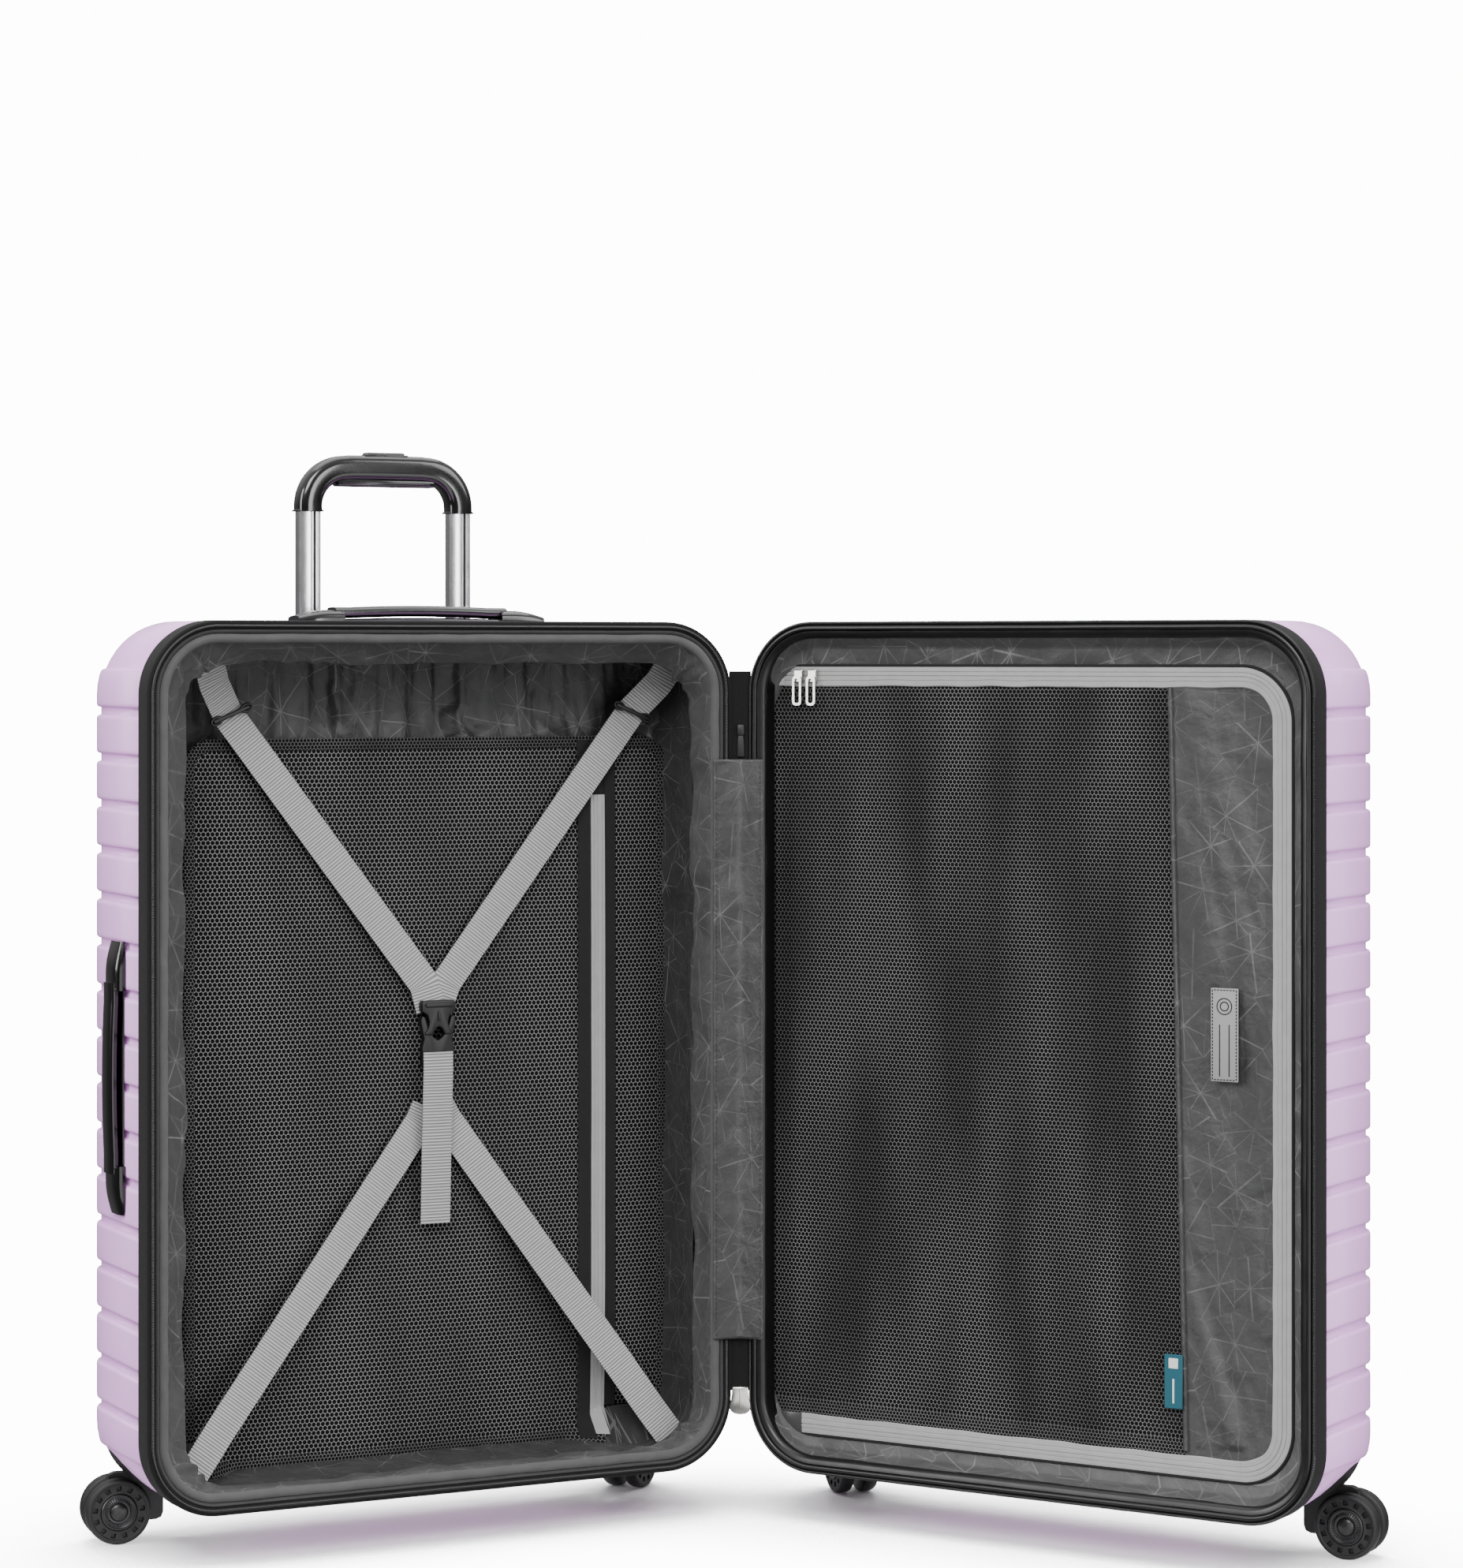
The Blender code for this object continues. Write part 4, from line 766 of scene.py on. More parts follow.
def makeFloorPanel():
    place, body = halves["rear"][:2]
    p = panelLook
    points = sheetGrid(p["left"], p["right"], p["foot"], p["top"], p["radius"], 90, 130, panelDepth)
    panel = put("floorNet", planar(gridMesh(hugging(points, "rear"))), "net", body, place, 80, ("floor_mesh_panel",),
                "mesh_cloth")
    rows = []
    for inset, lift in ((-0.0012, -0.0014), (-0.0006, 0.0008), (0.0015, 0.0012), (0.0075, 0.0012), (0.0085, 0.0)):
        flat, _ = loop(p["left"] + inset, p["right"] - inset, p["foot"] + inset, p["top"] - inset,
                       p["radius"] - inset, (20, 90, 120))
        rows.append(np.array([(x, panelDepth(x, z) - lift, z) for x, z in flat]))
    hem = put("floorNetHem", planar(gridMesh(hugging(np.stack(rows, 1), "rear"), closeRows=True)), "denseNet", body,
              place, 80)

    def upright(name, x, width, foot, top, lift, look, groove=(), **more):
        columns = [(-0.5, -0.0010), (-0.49, 0.0)] + [(g, 0.0 if k % 2 == 0 else -0.0006) for k, g in enumerate(groove)]
        columns += [(0.49, 0.0), (0.5, -0.0010)]
        pts = np.array([[(x + width * c, panelDepth(x, z) - lift - h, z) for c, h in columns]
                        for z in np.linspace(foot, top, 160)])
        return put(name, gridMesh(hugging(pts, "rear")), look, body, place, 40, **more)

    upright("floorZip", p["zipSide"], 0.0125, p["zipFoot"], p["zipTop"], 0.0030, "zip",
            (-0.34, -0.30, -0.26, -0.04, 0.0, 0.04, 0.26, 0.30, 0.34), replaces=("floor_panel_zip",), slot="grey_zip")
    for name, shift, width in (("Outer", -0.0120, 0.0115), ("Hinge", 0.0115, 0.0100)):
        upright(f"floorZipBinding{name}", p["zipSide"] + shift, width, p["foot"] + 0.002, p["top"] - 0.002, 0.0018,
                "darkBinding")
    upright("floorZipEnd", p["zipSide"], 0.0120, p["zipTop"], p["top"] - 0.002, 0.0020, "darkBinding")


def ribbon(path, width, thickness=0.0013, pitch=0.0017, rise=0.00035, face=(0, -1, 0)):  # ribbed webbing
    path = np.array(path, float)
    gaps = np.linalg.norm(np.diff(path, axis=0), axis=1)
    run = np.concatenate([[0], np.cumsum(gaps)])
    steps = int(run[-1] / pitch * 4)
    at = np.linspace(0, run[-1], steps)
    line = np.stack([np.interp(at, run, path[:, k]) for k in range(3)], 1)
    kernel = np.hanning(31)
    padded = np.vstack([line[:1]] * 15 + [line] + [line[-1:]] * 15)
    line = np.stack([np.convolve(padded[:, k], kernel / kernel.sum(), "valid") for k in range(3)], 1)
    step = np.gradient(line, axis=0)
    step /= np.linalg.norm(step, axis=1, keepdims=True)
    out = np.array(face, float) - step * (step @ np.array(face, float))[:, None]
    out /= np.linalg.norm(out, axis=1, keepdims=True)
    across = np.cross(out, step)
    columns = [(-0.5, -0.5, 0), (-0.5, 0.4, 0), (-0.44, 0.5, 0), (-0.30, 0.5, 0), (-0.27, 0.5, 1), (0, 0.5, 1),
               (0.27, 0.5, 1), (0.30, 0.5, 0), (0.44, 0.5, 0), (0.5, 0.4, 0), (0.5, -0.5, 0)]
    rib = (np.sin(at * math.tau / pitch) > 0).astype(float)
    fine = 0.25 * np.sin(at * math.tau / pitch * 2)
    rows = []
    for c, h, ribbed in columns:
        lift = thickness * h + rise * (rib if ribbed else fine * (h > 0))
        rows.append(line + across * width * c + out * lift[:, None])
    return gridMesh(np.stack(rows, 1), closeColumns=True, ends=True)


strapLook = {"width": 0.0255, "level": 0.0865, "centre": 0.0225, "cross": 0.437, "buckle": 0.395}


def makeStraps():
    place, body = halves["rear"][:2]
    s = strapLook
    level, centre = s["level"], s["centre"]
    runs = {
        "strapUpperOuter": [(-0.1800, 0.060, 0.7000), (-0.1710, 0.072, 0.680), (-0.1540, level + 0.002, 0.6560),
                            (centre - 0.010, level - 0.002, s["cross"]), (centre - 0.004, level - 0.002, 0.4150)],
        "strapUpperHinge": [(0.2300, 0.060, 0.7060), (0.2170, 0.072, 0.680), (0.1990, level + 0.002, 0.6560),
                            (centre + 0.010, level, s["cross"]), (centre + 0.002, level, 0.4150)],
        "strapLowerOuter": [(-0.1960, 0.056, 0.0600), (-0.1690, 0.062, 0.0950), (-0.1415, 0.066, 0.130),
                            (centre - 0.012, level + 0.002, 0.3250), (centre - 0.006, level + 0.002, 0.338)],
        "strapLowerHinge": [(0.2200, 0.050, 0.0560), (0.2010, 0.055, 0.0830), (0.1759, 0.060, 0.120),
                            (centre + 0.012, level + 0.003, 0.3250), (centre + 0.005, level + 0.003, 0.338)],
        "strapTail": [(centre - 0.0010, level - 0.0100, 0.3830), (centre - 0.0010, level - 0.0100, 0.366),
                      (centre - 0.0014, level - 0.0075, 0.310), (centre - 0.0018, level - 0.0055, 0.2420)],
    }
    hides = {"strapUpperOuter": "strap_upper_outer", "strapUpperHinge": "strap_upper_hinge",
             "strapLowerOuter": "strap_lower_outer", "strapLowerHinge": "strap_lower_hinge", "strapTail": "strap_tail"}
    for name, path in runs.items():
        made = put(name, ribbon(path, s["width"]), "webbing", body, place, 50, (hides[name],), "webbing")
    for name, spot, end in (("strapLockOuter", (-0.1525, 0.6560), (centre, s["cross"])),
                            ("strapLockHinge", (0.1990, 0.6560), (centre, s["cross"]))):
        lean = math.atan2(end[0] - spot[0], spot[1] - end[1])
        parts = [boxMesh((0.0330, 0.0030, 0.0036), (0, -0.0022, 0), 0.0012, 3)]
        for shift in (-0.0135, 0.0135):
            turn = np.linspace(0, math.tau, 22, endpoint=False)
            path = [(shift + 0.0046 * math.cos(t), -0.0020, 0.0028 * math.sin(t)) for t in turn]
            parts.append(tube(path, roundProfile(0.0024, 0.0030, count=10), closed=True))
        here = Matrix.Translation((spot[0], level - 0.001, spot[1])) @ Matrix.Rotation(-0.6 * lean, 4, "Y")
        put(name, moved(merged(*parts), here), "matt", body, place, 40)


def outlinePlate(points, thickness, bevel=0.0006):  # a flat plate from an outline in x and z, with softened edges
    bm = bmesh.new()
    verts = [bm.verts.new((x, 0, z)) for x, z in points]
    face = bm.faces.new(verts)
    moveUp = bmesh.ops.extrude_face_region(bm, geom=[face])
    lifted = [v for v in moveUp["geom"] if isinstance(v, bmesh.types.BMVert)]
    bmesh.ops.translate(bm, vec=(0, -thickness, 0), verts=lifted)
    bmesh.ops.recalc_face_normals(bm, faces=bm.faces)
    if bevel:
        bmesh.ops.bevel(bm, geom=list(bm.edges), offset=bevel, segments=2, profile=0.5, affect="EDGES")
    return asMesh(bm, "plate")


def mirrored(points):
    return points + [(-x, z) for x, z in reversed(points) if abs(x) > 1e-9]


def makeBuckle():
    place, body = halves["rear"][:2]
    s = strapLook
    here = Matrix.Translation((s["centre"], s["level"] - 0.0012, s["buckle"]))
    frameHalf = [(0.0, 0.0285), (0.0138, 0.0285), (0.0148, 0.0265), (0.0148, 0.0200), (0.0098, 0.0170),
                 (0.0082, 0.0110), (0.0094, 0.0055), (0.0120, 0.0030), (0.0120, 0.0008), (0.0052, 0.0008),
                 (0.0030, 0.0060), (0.0, 0.0076)]
    socket = merged(outlinePlate(mirrored(frameHalf), 0.0085, 0.0012),
                    boxMesh((0.0240, 0.0022, 0.0034), (0, -0.0090, 0.0250), 0.0009, 2),
                    boxMesh((0.0020, 0.0015, 0.0080), (0, -0.0090, 0.0160), 0.0006, 2))
    put("buckleSocket", moved(socket, here), "matt", body, place, 35, ("buckle_socket",), "matt_black")
    prong = [(0.0, -0.0040), (0.0040, -0.0010), (0.0086, 0.0060), (0.0112, 0.0150), (0.0140, 0.0165), (0.0153, 0.0120),
             (0.0140, 0.0050), (0.0122, -0.0020), (0.0140, -0.0090), (0.0138, -0.0245), (0.0, -0.0245)]
    plug = merged(outlinePlate(mirrored(prong), 0.0070, 0.0010),
                  boxMesh((0.0220, 0.0020, 0.0024), (0, -0.0078, -0.0145), 0.0008, 2),
                  boxMesh((0.0220, 0.0020, 0.0024), (0, -0.0078, -0.0200), 0.0008, 2))
    put("bucklePlug", moved(plug, here), "matt", body, place, 35, ("buckle_plug",), "matt_black")


makeRearLining()
makeUpperLining()
makeFloorPanel()
makeStraps()
makeBuckle()
print("rear half furnished")


dividerLook = {"level": 0.0246, "left": -0.2390, "sideInset": 0.0290, "topInset": 0.0365, "footInset": 0.0280,
               "corner": 0.042, "zipWidth": 0.0155, "seamTop": 0.1180, "seamFoot": 0.1320, "topStart": -0.2290,
               "footStart": -0.2130}


def seamAt(z):
    d = dividerLook
    share = (case["top"] - 0.04 - z) / (case["top"] - case["foot"] - 0.08)
    return d["seamTop"] + (d["seamFoot"] - d["seamTop"]) * share


def zipPath():
    d = dividerLook
    right, top, foot, r = side - d["sideInset"], case["top"] - d["topInset"], case["foot"] + d["footInset"], d["corner"]
    path = [(x, foot) for x in np.linspace(d["footStart"], right - r, 160)]
    for x, z, start in ((right - r, foot + r, 270), (right - r, top - r, 0)):
        turn = np.radians(start + np.linspace(0, 90, 30))
        path += [(x + r * math.cos(t), z + r * math.sin(t)) for t in turn]
        if start == 270:
            path += [(right, level) for level in np.linspace(foot + r, top - r, 240)[1:-1]]
    path += [(x, top) for x in np.linspace(right - r, d["topStart"], 160)[1:]]
    return np.array(path)


def besideZip(columns, wobble=0.0):  # carries a cross section of (inward, lift) along the divider zip
    path = zipPath()
    step = np.gradient(path, axis=0)
    step /= np.linalg.norm(step, axis=1, keepdims=True)
    inward = np.stack([-step[:, 1], step[:, 0]], 1)
    rows = []
    for across, lift in columns:
        sway = np.array([wobble * noise.noise(Vector((x / 0.025, z / 0.025, 2.0))) for x, z in path])
        flat = path + inward * (across + sway * (across > 0.010))[:, None]
        rows.append(np.stack([flat[:, 0], np.full(len(flat), dividerLook["level"] - lift), flat[:, 1]], 1))
    return np.stack(rows, 1)


def lidDepth(x, z):
    wave = 0.0013 * math.sin(x / 0.017 + 1.2 * math.sin(z / 0.11))
    wave += 0.0016 * noise.noise(Vector((x / 0.05, z / 0.2, 4)))
    near = min((x + side) / 0.05, (case["top"] - z) / 0.07, (z - case["foot"]) / 0.07, 1.0)
    return dividerLook["level"] + 0.0006 + wave * max(near - 0.4, 0)


labelLook = {"x": 0.1670, "z": 0.4110, "wide": 0.0230, "high": 0.0720, "stitch": 0.0026, "emblem": 0.4330,
             "bars": 0.3990}
tagLook = {"x": -0.0075, "z": 0.1405, "square": 0.1545, "bar": 0.1330}  # x is measured from the strip's seam


def makeDivider():
    place, body = halves["lid"][:2]
    d = dividerLook
    foot, top = case["foot"] + 0.030, case["top"] - 0.038
    rows = [[(x, lidDepth(x, z), z) for x in np.linspace(d["left"], seamAt(z) + 0.001, 90)]
            for z in np.linspace(foot, top, 150)]
    net = put("lidNet", planar(gridMesh(np.array(rows))), "fineNet", body, place, 80, ("divider_panel",), "mesh_cloth")
    hem = [[(x, lidDepth(x, z) - 0.0008, z) for x in np.linspace(d["left"] + 0.004, seamAt(z), 90)]
           for z in np.linspace(foot + 0.010, foot + 0.026, 5)]
    put("lidNetHem", planar(gridMesh(np.array(hem))), "denseNet", body, place, 80)
    right = side - d["sideInset"] - 0.006
    cloth = np.array([[(x, d["level"] + 0.0004, z) for x in np.linspace(seamAt(z), right, 44)]
                      for z in np.linspace(foot, top, 260)])
    across = np.sin(np.linspace(0, 1, cloth.shape[1]) * math.pi)[None, :]
    across = across * np.sin(np.linspace(0.03, 0.97, cloth.shape[0]) * math.pi)[:, None] ** 0.4
    slanted = cloth * (1, 1, 0.55) + cloth[..., :1] * (0, 0, 0.9)
    cloth[..., 1] += across * (creased(slanted, 6.0, 0.10, 0.030, 0.0036) - 0.0012)
    under = (cloth[..., 0] > right - 0.019) | (cloth[..., 2] > top - 0.022) | (cloth[..., 2] < foot + 0.022)
    cloth[..., 1] = np.where(under, np.maximum(cloth[..., 1], d["level"] + 0.0003), cloth[..., 1])
    strip = put("lidSatinStrip", gridMesh(cloth), "strip", body, place, 80)
    seam = np.array([[(seamAt(z) + dx, d["level"] - lift, z) for dx, lift in
                      ((-0.0022, -0.0006), (-0.0016, 0.0012), (0.0004, 0.0018), (0.0020, 0.0014), (0.0026, -0.0006))]
                     for z in np.linspace(foot + 0.017, top - 0.014, 120)])
    put("lidSeam", gridMesh(seam), "strip", body, place, 80)
    counts = (30, 160, 220)
    rim, _ = rimLoop(0.0136, counts)
    inner, _ = loop(d["left"], side - d["sideInset"] + 0.002, case["foot"] + d["footInset"] - 0.002,
                    case["top"] - d["topInset"] + 0.002, d["corner"], counts)
    rings = between(ringAt(rim, 0.0075), ringAt((rim * 2 + inner) / 3, 0.0200), 7)
    rings += between(ringAt((rim * 2 + inner) / 3, 0.0200), ringAt(inner, d["level"] + 0.0006), 8)[1:]
    points = np.stack(rings, 1)
    push = (creased(points, 2.0, 0.06, 0.014, 0.0022) - 0.0005) * np.sin(np.linspace(0.1, 3.0, points.shape[1]))
    points[..., 1] += push
    border = put("lidLiningBorder", gridMesh(points, closeRows=True), "satin", body, place, 80, ("lid_lining",),
                 "lining_cloth")
    w = d["zipWidth"]
    tape = [(-0.0004, -0.0006), (0.0, 0.0006), (0.0016, 0.0010), (0.0034, 0.0010), (0.0038, 0.0004), (0.0042, 0.0010),
            (0.0066, 0.0012), (0.0072, 0.0004), (0.0078, 0.0012), (0.0104, 0.0012), (0.0110, 0.0006), (0.0116, 0.0010),
            (w - 0.0006, 0.0010), (w, 0.0004), (w + 0.0004, -0.0008)]
    put("dividerZip", gridMesh(besideZip(tape, 0.0009)), "zip", body, place, 30, ("divider_zip",), "grey_zip")
    piping = [(-0.0026, -0.0008), (-0.0020, 0.0008), (-0.0010, 0.0012), (-0.0002, 0.0006)]
    put("dividerZipEdge", gridMesh(besideZip(piping)), "darkBinding", body, place, 60)
    edge = case["foot"] + d["footInset"]
    tab = boxMesh((0.0270, 0.0022, w + 0.001), (d["footStart"] - 0.0122, d["level"] - 0.0004, edge + w / 2), 0.0010, 2)
    put("dividerZipStop", tab, "strip", body, place, 40)
    topEdge = case["top"] - d["topInset"]
    stop = boxMesh((0.0100, 0.0022, w), (d["topStart"] - 0.0046, d["level"] - 0.0004, topEdge - w / 2), 0.0010, 2)
    put("dividerZipTopStop", stop, "zip", body, place, 40)
    x0, z0, front = labelLook["x"], labelLook["z"], d["level"] - 0.0058
    patch = boxMesh((labelLook["wide"], 0.0014, labelLook["high"]), (x0, d["level"] - 0.0050, z0), 0.0006, 2)
    dashes = []
    for x in (-0.0100, 0.0100):
        dashes += [boxMesh((0.0008, 0.0007, 0.0016), (x0 + x, front, z0 + k * labelLook["stitch"]), 0.0002, 1)
                   for k in range(-13, 14)]
    for z in (-0.0345, 0.0345):
        dashes += [boxMesh((0.0016, 0.0007, 0.0008), (x0 + k * labelLook["stitch"], front, z0 + z), 0.0002, 1)
                   for k in range(-3, 4)]
    put("labelPatch", patch, "label", body, place, 40)
    put("labelStitches", merged(*dashes), "darkBinding", body, place, 40)
    turn = np.linspace(0, math.tau, 28, endpoint=False)
    rings = [tube([(x0 + r * math.cos(t), front, labelLook["emblem"] + r * math.sin(t)) for t in turn],
                  roundProfile(0.0008, 0.0008, count=8), closed=True) for r in (0.0062, 0.0034)]
    bars = [boxMesh((0.0008, 0.0006, 0.0400), (x0 + x, front, labelLook["bars"]), 0.0002, 1) for x in (-0.004, 0.004)]
    put("labelRelief", merged(*rings, *bars), "darkBinding", body, place, 40)
    x0 = seamAt(0.14) + tagLook["x"]
    tag = boxMesh((0.0155, 0.0009, 0.0420), (x0, d["level"] - 0.0036, tagLook["z"]), 0.0004, 1)
    put("sideTag", tag, "tag", body, place, 40)
    mark = [boxMesh((0.0080, 0.0008, 0.0080), (x0, d["level"] - 0.0040, tagLook["square"]), 0.0003, 1),
            boxMesh((0.0016, 0.0008, 0.0190), (x0, d["level"] - 0.0040, tagLook["bar"]), 0.0003, 1)]
    put("sideTagMark", merged(*mark), "pale", body, place, 40)


hingeLook = {"flapFoot": 0.145, "flapTop": 0.6180, "tapeFoot": 0.1020, "tapeTop": 0.6900, "clip": 0.0935,
             "pull": 0.6300, "facing": -27, "stitch": 0.0042}


def acrossHinge(profile, foot, top, rows, seed, sway=0.0):  # (u, lift) pairs; u is over 0 on the lid
    turn = math.radians(case["open"] - 180)
    line = []
    for u, lift in profile:
        if u <= 0:
            line.append(Vector((u, -lift)))
        else:
            c, s = math.cos(turn), math.sin(turn)
            line.append(Vector((u * c + lift * s, u * s - lift * c)))
    path = np.array([tuple(p) for p in line])
    fine = np.linspace(0, len(path) - 1, (len(path) - 1) * 5 + 1)
    path = np.stack([np.interp(fine, range(len(path)), path[:, k]) for k in (0, 1)], 1)
    kernel = np.array([1, 2, 3, 2, 1]) / 9
    middle = np.stack([np.convolve(np.pad(path[:, k], 2, "edge"), kernel, "valid") for k in (0, 1)], 1)
    middle[0], middle[-1] = path[0], path[-1]
    levels = np.linspace(foot, top, rows)
    points = np.array([[(x, y, z) for x, y in middle] for z in levels])
    if sway:
        points[..., 1] += sway * creased(points, seed, 0.10, 0.016, 1.0)
    return points


def makeHinge():
    rear, lid, h = "rear_half", "lid", hingeLook
    flat = [(-0.0245, 0.0006), (-0.0205, 0.0016), (-0.0130, 0.0030), (-0.0050, 0.0046), (0.0050, 0.0046),
            (0.0130, 0.0030), (0.0195, 0.0016), (0.0222, 0.0008)]
    cover = put("hingeFlap", gridMesh(acrossHinge(flat, h["flapFoot"], h["flapTop"], 220, 3.0, 0.0007)), "strip", rear,
                None, 80)
    cover.parent = None
    thick = cover.modifiers.new("cloth", "SOLIDIFY")
    thick.thickness = 0.0007
    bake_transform(cover)
    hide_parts("hinge_flap_rear", "hinge_flap_lid")
    for name, u in (("hingeStitchRear", -0.0222), ("hingeStitchLid", 0.0200)):
        dashes = []
        for z in np.arange(h["flapFoot"] + 0.005, h["flapTop"] - 0.004, h["stitch"]):
            spot = acrossHinge([(u, 0.0022)] * 2, z, z + 0.001, 2, 1)[0, 0]
            dashes.append(boxMesh((0.0006, 0.0006, 0.0024), tuple(spot), 0.0002, 1))
        put(name, merged(*dashes), "binding", rear if u < 0 else lid, None, 40)
    tape = [(-0.0085, -0.0030), (-0.0040, -0.0004), (0.0, 0.0004), (0.0040, -0.0004), (0.0085, -0.0030)]
    strip = put("hingeTape", gridMesh(acrossHinge(tape, h["tapeFoot"], h["tapeTop"], 120, 2.0, 0.0002)), "tape", rear,
                None, 80)
    strip.parent = None
    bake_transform(strip)
    half = [(0.0, 0.0115), (0.0066, 0.0115), (0.0068, 0.0050), (0.0074, 0.0010), (0.0088, -0.0030), (0.0088, -0.0062),
            (0.0070, -0.0092), (0.0040, -0.0108), (0.0, -0.0112)]
    toward = Matrix.Rotation(math.radians(h["facing"]), 4, "Z")
    clip = merged(outlinePlate(mirrored(half), 0.0036, 0.0012),
                  boxMesh((0.0012, 0.0012, 0.0200), (0, -0.0038, 0), 0.0005, 2))
    put("zipEndClip", moved(clip, Matrix.Translation((0, 0, h["clip"])) @ toward), "zinc", rear, None, 35,
        ("zip_end_clip",), "zinc_puller")
    blade = [(-0.0030, -0.0100), (0.0030, -0.0100), (0.0022, 0.0090), (-0.0022, 0.0090)]
    tab = merged(outlinePlate(blade, 0.0016, 0.0005),
                 boxMesh((0.0060, 0.0040, 0.0090), (0, -0.0012, 0.0120), 0.0012, 2))
    put("mainZipTab", moved(tab, Matrix.Translation((0, -0.0010, h["pull"])) @ toward), "matt", rear, None, 35)


makeDivider()
makeHinge()
print("lid furnished")


handleLook = {"spacing": 0.132, "back": 0.1415, "gripTop": 0.866, "gripBar": 0.0210, "gripDepth": 0.0215,
              "gripBend": 0.031, "gripLeg": 0.046, "tubeFoot": 0.4897, "tubeWidth": 0.0190, "tubeDepth": 0.0120,
              "bezelTop": 0.7312, "button": (0.034, 0.011, 0.008)}


def arcPoints(x, z, radius, start, end, steps):
    turn = np.radians(np.linspace(start, end, steps))
    return [(x + radius * math.cos(t), 0.0, z + radius * math.sin(t)) for t in turn]


def tubeProfile(width, depth):  # a rounded box section; its front has a groove with a bead on each side
    a, b, r = width / 2, depth / 2, 0.0018
    shape = [(-a, r - b), (-a + 0.3 * r, 0.3 * r - b), (r - a, -b), (a - r, -b), (a - 0.3 * r, 0.3 * r - b), (a, r - b),
             (a, b - r), (a - 0.3 * r, b - 0.3 * r), (a - r, b - 0.0004)]
    shape += [(0.0060, b - 0.0004), (0.0056, b), (0.0046, b), (0.0042, b - 0.0018), (0.0028, b - 0.0018), (0.0024, b),
              (0.0014, b), (0.0010, b - 0.0006), (0.0004, b)]
    return shape + [(r - a, b), (0.3 * r - a, b - 0.3 * r), (-a, b - r)]


def makeTelescopicHandle():
    h = handleLook
    centre = rearPlace @ Matrix.Translation((0, h["back"], 0))
    level, foot, half = h["gripTop"] - h["gripBar"] / 2, h["gripTop"] - h["gripLeg"], h["spacing"] / 2
    bend = h["gripBend"]
    path = [(half, 0.0, z) for z in np.linspace(foot, level - bend, 6)[:-1]]
    path += arcPoints(half - bend, level - bend, bend, 0, 90, 22)
    flatRun = np.linspace(half - bend, bend - half, 22)[1:-1]
    path += [(x, 0.0, level + 0.0006 * math.cos(x / half * 1.5)) for x in flatRun]
    path += arcPoints(bend - half, level - bend, bend, 90, 180, 22)
    path += [(-half, 0.0, z) for z in np.linspace(level - bend, foot, 6)[1:]]
    bar = tube(path, roundProfile(h["gripBar"], h["gripDepth"], 3.4, 44))
    rimCollars = [boxMesh((0.0222, 0.0160, 0.0016), (x, 0, foot + 0.0006), 0.0006, 2) for x in (-half, half)]
    pad = merged(boxMesh((0.0860, 0.0130, 0.0062), (0, -0.0010, h["gripTop"] - h["gripBar"] - 0.0012), 0.0016, 3),
                 boxMesh((0.0780, 0.0142, 0.0022), (0, -0.0010, h["gripTop"] - h["gripBar"] - 0.0012), 0.0008, 2))
    put("telescopicGrip", merged(bar, pad, *rimCollars), "gloss", "handle_upper", centre, 50, ("telescopic_grip",),
        "gloss_black")
    w, d, t = h["button"]
    frameRing = boxMesh((w + 0.004, d + 0.004, 0.0016), (0, 0, h["gripTop"] + 0.0002), 0.0007, 2)
    put("buttonFrame", frameRing, "gloss", "handle_upper", centre, 40)
    press = boxMesh((w, d, t), (0, 0, h["gripTop"] + 0.0030 - t / 2), 0.0016, 3)
    put("releaseButton", press, "buttonGrey", "button", centre, 40, ("release_button",), "matt_black")
    section = tubeProfile(h["tubeWidth"], h["tubeDepth"])
    for name, x in (("left", -half), ("right", half)):
        top = foot - 0.0003
        mesh = tube([(x, 0, z) for z in np.linspace(h["tubeFoot"], top, 4)], section, up=(0, -1, 0))
        put(f"upperTube.{name}", mesh, "aluminium", "handle_upper", centre, 30, (f"upper_tube_{name}",),
            "tube_aluminium")
        # a thin matt black strip laid on the floor of the front groove: painted shade in the groove
        line = boxMesh((0.0013, 0.0002, top - 0.7000), (x + 0.0035, -0.0043, (top + 0.7000) / 2))
        put(f"tubeGrooveShade.{name}", line, "matt", "handle_upper", centre, 30)
    rings = []
    for x in (-half, half):
        turn = roundProfile(0.0262, 0.0192, 5.0, 40)
        rings.append(tube([(x + a, b, h["bezelTop"] + 0.0004) for a, b in turn], roundProfile(0.0016, 0.0016, count=8),
                          closed=True, up=(0, 0, 1)))
    put("bezelCollars", merged(*rings), "gloss", "rear_half", centre, 40)


carryLook = {"length": 0.212, "width": 0.030, "cap": 0.038, "capRise": 0.0088, "plate": 0.0015, "arch": 0.0125,
             "thickness": 0.0090, "gripWidth": 0.022, "back": 0.068, "sideLevel": 0.375, "humpReach": 0.074,
             "humpRise": 0.0013}


